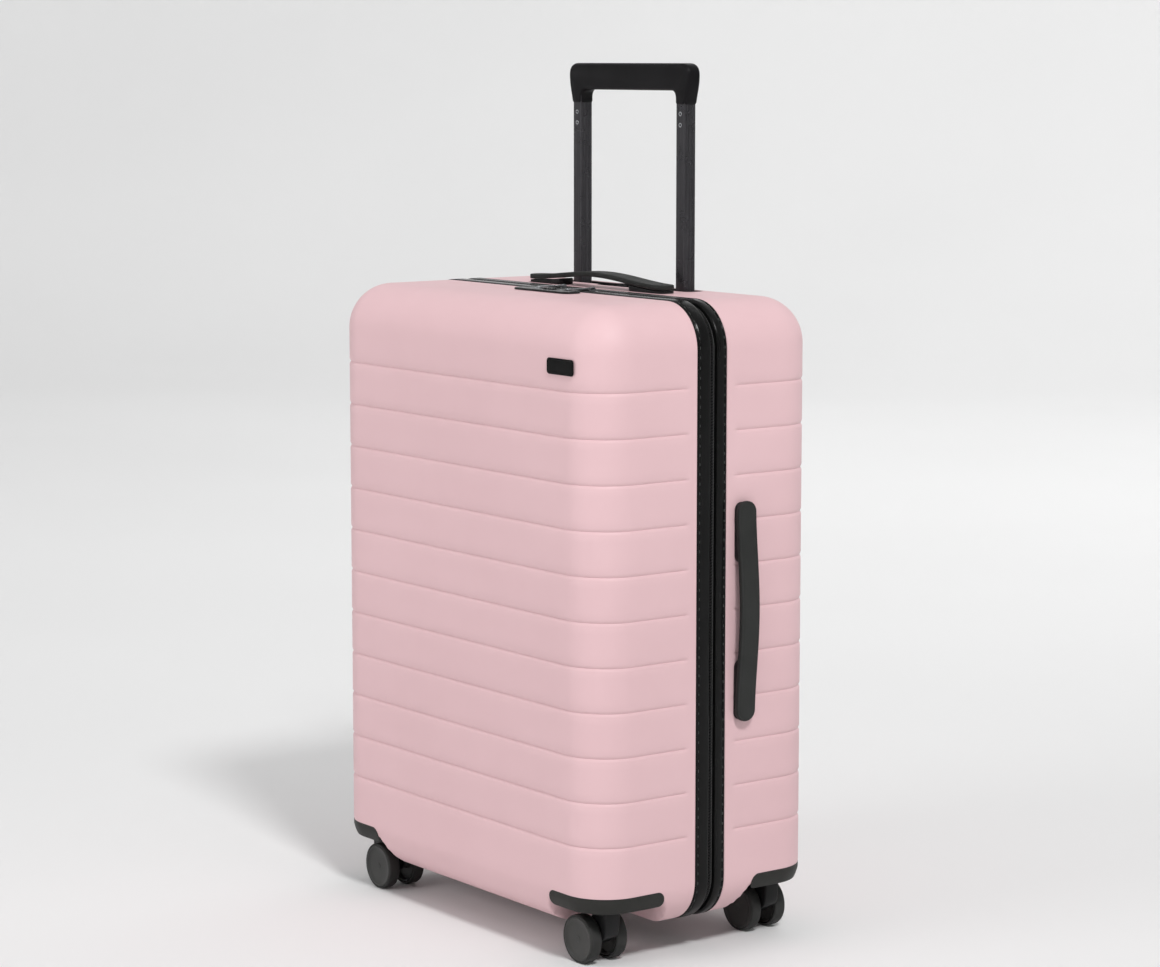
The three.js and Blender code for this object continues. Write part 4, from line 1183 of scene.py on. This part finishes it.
def on_front(a, b, h):
    return (BADGE_X + a, -DEPTH / 2 - h, BADGE_Z + b)


badge = pad("badge", 21.5, 8, 3.5, badge_profile, on_front, 6, 10, 3)
place(badge, "badge", "front_case", ["badge_plate"])

LOCK_LOW = TOP + GAP
LOCK_HIGH = LOCK_LOW + 2
LOCK_CLEAR = LOCK_HIGH + 5
BOSS_HALF = (27, 7.5)
BOSS_DEPTH = 12
DIAL_PITCH = 8
DIAL_RADIUS = 6.0
DIAL_TEETH = 60
PULL_SPACING = 25
PULL_PIVOT_Z = 660.8


def on_lock(a, b, h):
    return (LOCK_X + a, LOCK_Y + b, h)


plate_profile = [
    (0, LOCK_LOW), (0, LOCK_HIGH - 1.0), (0.3, LOCK_HIGH - 0.4), (0.9, LOCK_HIGH - 0.1), (1.8, LOCK_HIGH),
    (4.2, LOCK_HIGH),
]
lock = pad("lock_plate", 48, 11.5, 9, plate_profile, on_lock, 8, 20, 4)
boss_low = on_lock(-BOSS_HALF[0], -BOSS_HALF[1], TOP - BOSS_DEPTH)
join(lock, block("boss", boss_low, on_lock(*BOSS_HALF, LOCK_LOW + 1)))
cutters = [block("button_slot", on_lock(-23, -4.3, LOCK_LOW - 2), on_lock(-9.7, 4.3, LOCK_CLEAR))]
for number in range(3):
    x = 4 + (number - 1) * DIAL_PITCH
    slot_low = on_lock(x - 2.1, -6.3, LOCK_HIGH - 11.1)
    slot_high = on_lock(x + 2.1, 6.3, LOCK_CLEAR)
    cutters.append(block("dial_slot", slot_low, slot_high))
for sign in (-1, 1):
    first, last = sorted((sign * 21, sign * 53))
    cutters.append(block("pull_slot", on_lock(first, 3, LOCK_LOW + 1.4), on_lock(last, 20, LOCK_CLEAR)))
carve(lock, *cutters)
soften(lock, 0.35, 2, 50)
place(lock, "lock", "front_case", ["lock_body"], 40)

for number in range(3):
    x, y, z = centre(f"lock_dial_{number + 1}")
    verts = []
    faces = []
    rings = ((-1.8, -0.5), (-1.4, 0.0), (1.4, 0.0), (1.8, -0.5))
    for along, drop in rings:
        for i in range(DIAL_TEETH):
            angle = 2 * math.pi * i / DIAL_TEETH
            radius = DIAL_RADIUS + drop - (0.35 if i % 6 == 0 else 0.0)
            verts.append((x + along, y + radius * math.cos(angle), z + radius * math.sin(angle)))
    for ring in range(3):
        for i in range(DIAL_TEETH):
            j = (i + 1) % DIAL_TEETH
            one, two = ring * DIAL_TEETH, (ring + 1) * DIAL_TEETH
            faces.append((one + i, one + j, two + j, two + i))
    faces += [tuple(range(DIAL_TEETH)), tuple(range(3 * DIAL_TEETH, 4 * DIAL_TEETH))]
    dial = new_object(f"dial_{number + 1}", verts, faces)
    body = f"lock_dial_{number + 1}"
    place(dial, "plastic", body, [body], 20)

low, high = [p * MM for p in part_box("lock_button")]
latch = block("latch_button", (low.x - SHIFT, low.y, low.z), (high.x - SHIFT, high.y, high.z - 0.5))
ridges = []
for i in range(3):
    start = low.x - SHIFT + 1.5 + 2.2 * i
    ridges.append(block("rib", (start, low.y + 1, high.z - 1), (start + 1, high.y - 1, high.z)))
join(latch, *ridges)
soften(latch, 0.25, 2, 50)
place(latch, "steel", "lock_button", ["lock_button"])

for side, sign in (("left", -1), ("right", 1)):
    x = LOCK_X + sign * PULL_SPACING
    base = TOP - 3.4 + GAP
    wings = [(0.5, base), (0, base + 0.5), (0, TOP - 0.7), (0.4, TOP - 0.1), (1.2, TOP + 0.2)]
    slider = pad(f"slider_{side}", 6, 3, 1.6, wings, lambda a, b, h: (x + a, ZIP_Y + b, h), 4, 8, 2)
    ear = round_corners(2.3, 1.6, 1.2, 4)
    lug = prism("lug", ear, x - 1.2, x + 1.2, lambda a, b, h: (h, ZIP_Y + a, TOP + 1.9 + b * 1.4))
    join(slider, lug)
    place(slider, "steel", f"zip_slider_{side}", [f"zip_slider_{side}"])
    pivot = PULL_PIVOT_Z
    outline = moved(round_corners(3, 18, 1.4, 4), x, ZIP_Y + 1.6 - 18)
    opening = moved(round_corners(1.3, 6.5, 1.2, 4), x, ZIP_Y - 15)
    pull = prism(f"pull_{side}", outline, pivot - 0.8, pivot + 0.8, plan)
    carve(
        pull,
        block("fork_slot", (x - 1.5, ZIP_Y - 3.2, pivot - 3), (x + 1.5, ZIP_Y + 3, pivot + 3)),
        prism("window", opening, pivot + 0.3, pivot + 3, plan),
    )
    soften(pull, 0.25, 2, 50)
    place(pull, "steel", f"zip_pull_{side}", [f"zip_pull_{side}"])

# ---------- studio ----------


def sweep():
    """Pale floor that rises far away into a backdrop on every side."""
    verts = []
    faces = []
    rise = [5.5 + 3.0 * math.sin(math.pi / 2 * i / 10) for i in range(1, 11)]
    rings = [0.0, 1.2, 2.5, 4.0, 5.5] + rise + [8.5]
    heights = [0.0] * 5 + [3.0 * (1 - math.cos(math.pi / 2 * i / 10)) for i in range(1, 11)] + [9.0]
    segments = 96
    for radius, height in zip(rings[1:], heights[1:]):
        for i in range(segments):
            angle = 2 * math.pi * i / segments
            verts.append((radius * math.cos(angle), radius * math.sin(angle), height))
    verts.append((0, 0, 0))
    for i in range(segments):
        faces.append(((i + 1) % segments, i, len(verts) - 1))
        for ring in range(len(rings) - 2):
            a, b = ring * segments + i, ring * segments + (i + 1) % segments
            faces.append((a, b, b + segments, a + segments))
    mesh = bpy.data.meshes.new("studio_floor")
    mesh.from_pydata(verts, [], faces)
    mesh.polygons.foreach_set("use_smooth", [True] * len(mesh.polygons))
    floor = bpy.data.objects.new("studio_floor", mesh)
    bpy.context.scene.collection.objects.link(floor)
    look = Look("studio_paper", roughness=0.9, specular=0.1)
    look.colour(look.ranged(look.noise(0.7, 2), 0, 1), linear(233, 233, 233), linear(236, 236, 236))
    mesh.materials.append(look.material)
    return floor


def lamp(name, location, target, size, power, tone=(1, 1, 1)):
    data = bpy.data.lights.new(name, "AREA")
    data.shape = "DISK"
    data.size = size
    data.energy = power
    data.color = tone
    obj = bpy.data.objects.new(name, data)
    obj.location = location
    obj.rotation_euler = (Vector(target) - Vector(location)).to_track_quat("-Z", "Y").to_euler()
    bpy.context.scene.collection.objects.link(obj)
    return obj


sweep()
lamp("key", (3.1, -0.95, 3.85), (0, 0, 0.3), 0.8, 122)
lamp("front", (-0.8, -4.6, 2.0), (0, 0, 0.4), 2.6, 58)
lamp("backdrop", (-0.6, 3.0, 4.6), (-5.5, 6.0, 1.2), 3.0, 150)

world = bpy.data.worlds.new("studio")
world.use_nodes = True
world.node_tree.nodes["Background"].inputs["Color"].default_value = (1, 1, 1, 1)
world.node_tree.nodes["Background"].inputs["Strength"].default_value = 0.53
bpy.context.scene.world = world
bpy.context.scene.view_settings.view_transform = "Standard"

camera = bpy.data.objects.new("camera", bpy.data.cameras.new("camera"))
camera.location = at(2675.25, -1977.75, 897.3)
camera.rotation_euler = (math.radians(90 - 7.59), 0, math.radians(53.34))
camera.data.sensor_width = 36
camera.data.lens = 99.35
bpy.context.scene.collection.objects.link(camera)
bpy.context.scene.camera = camera
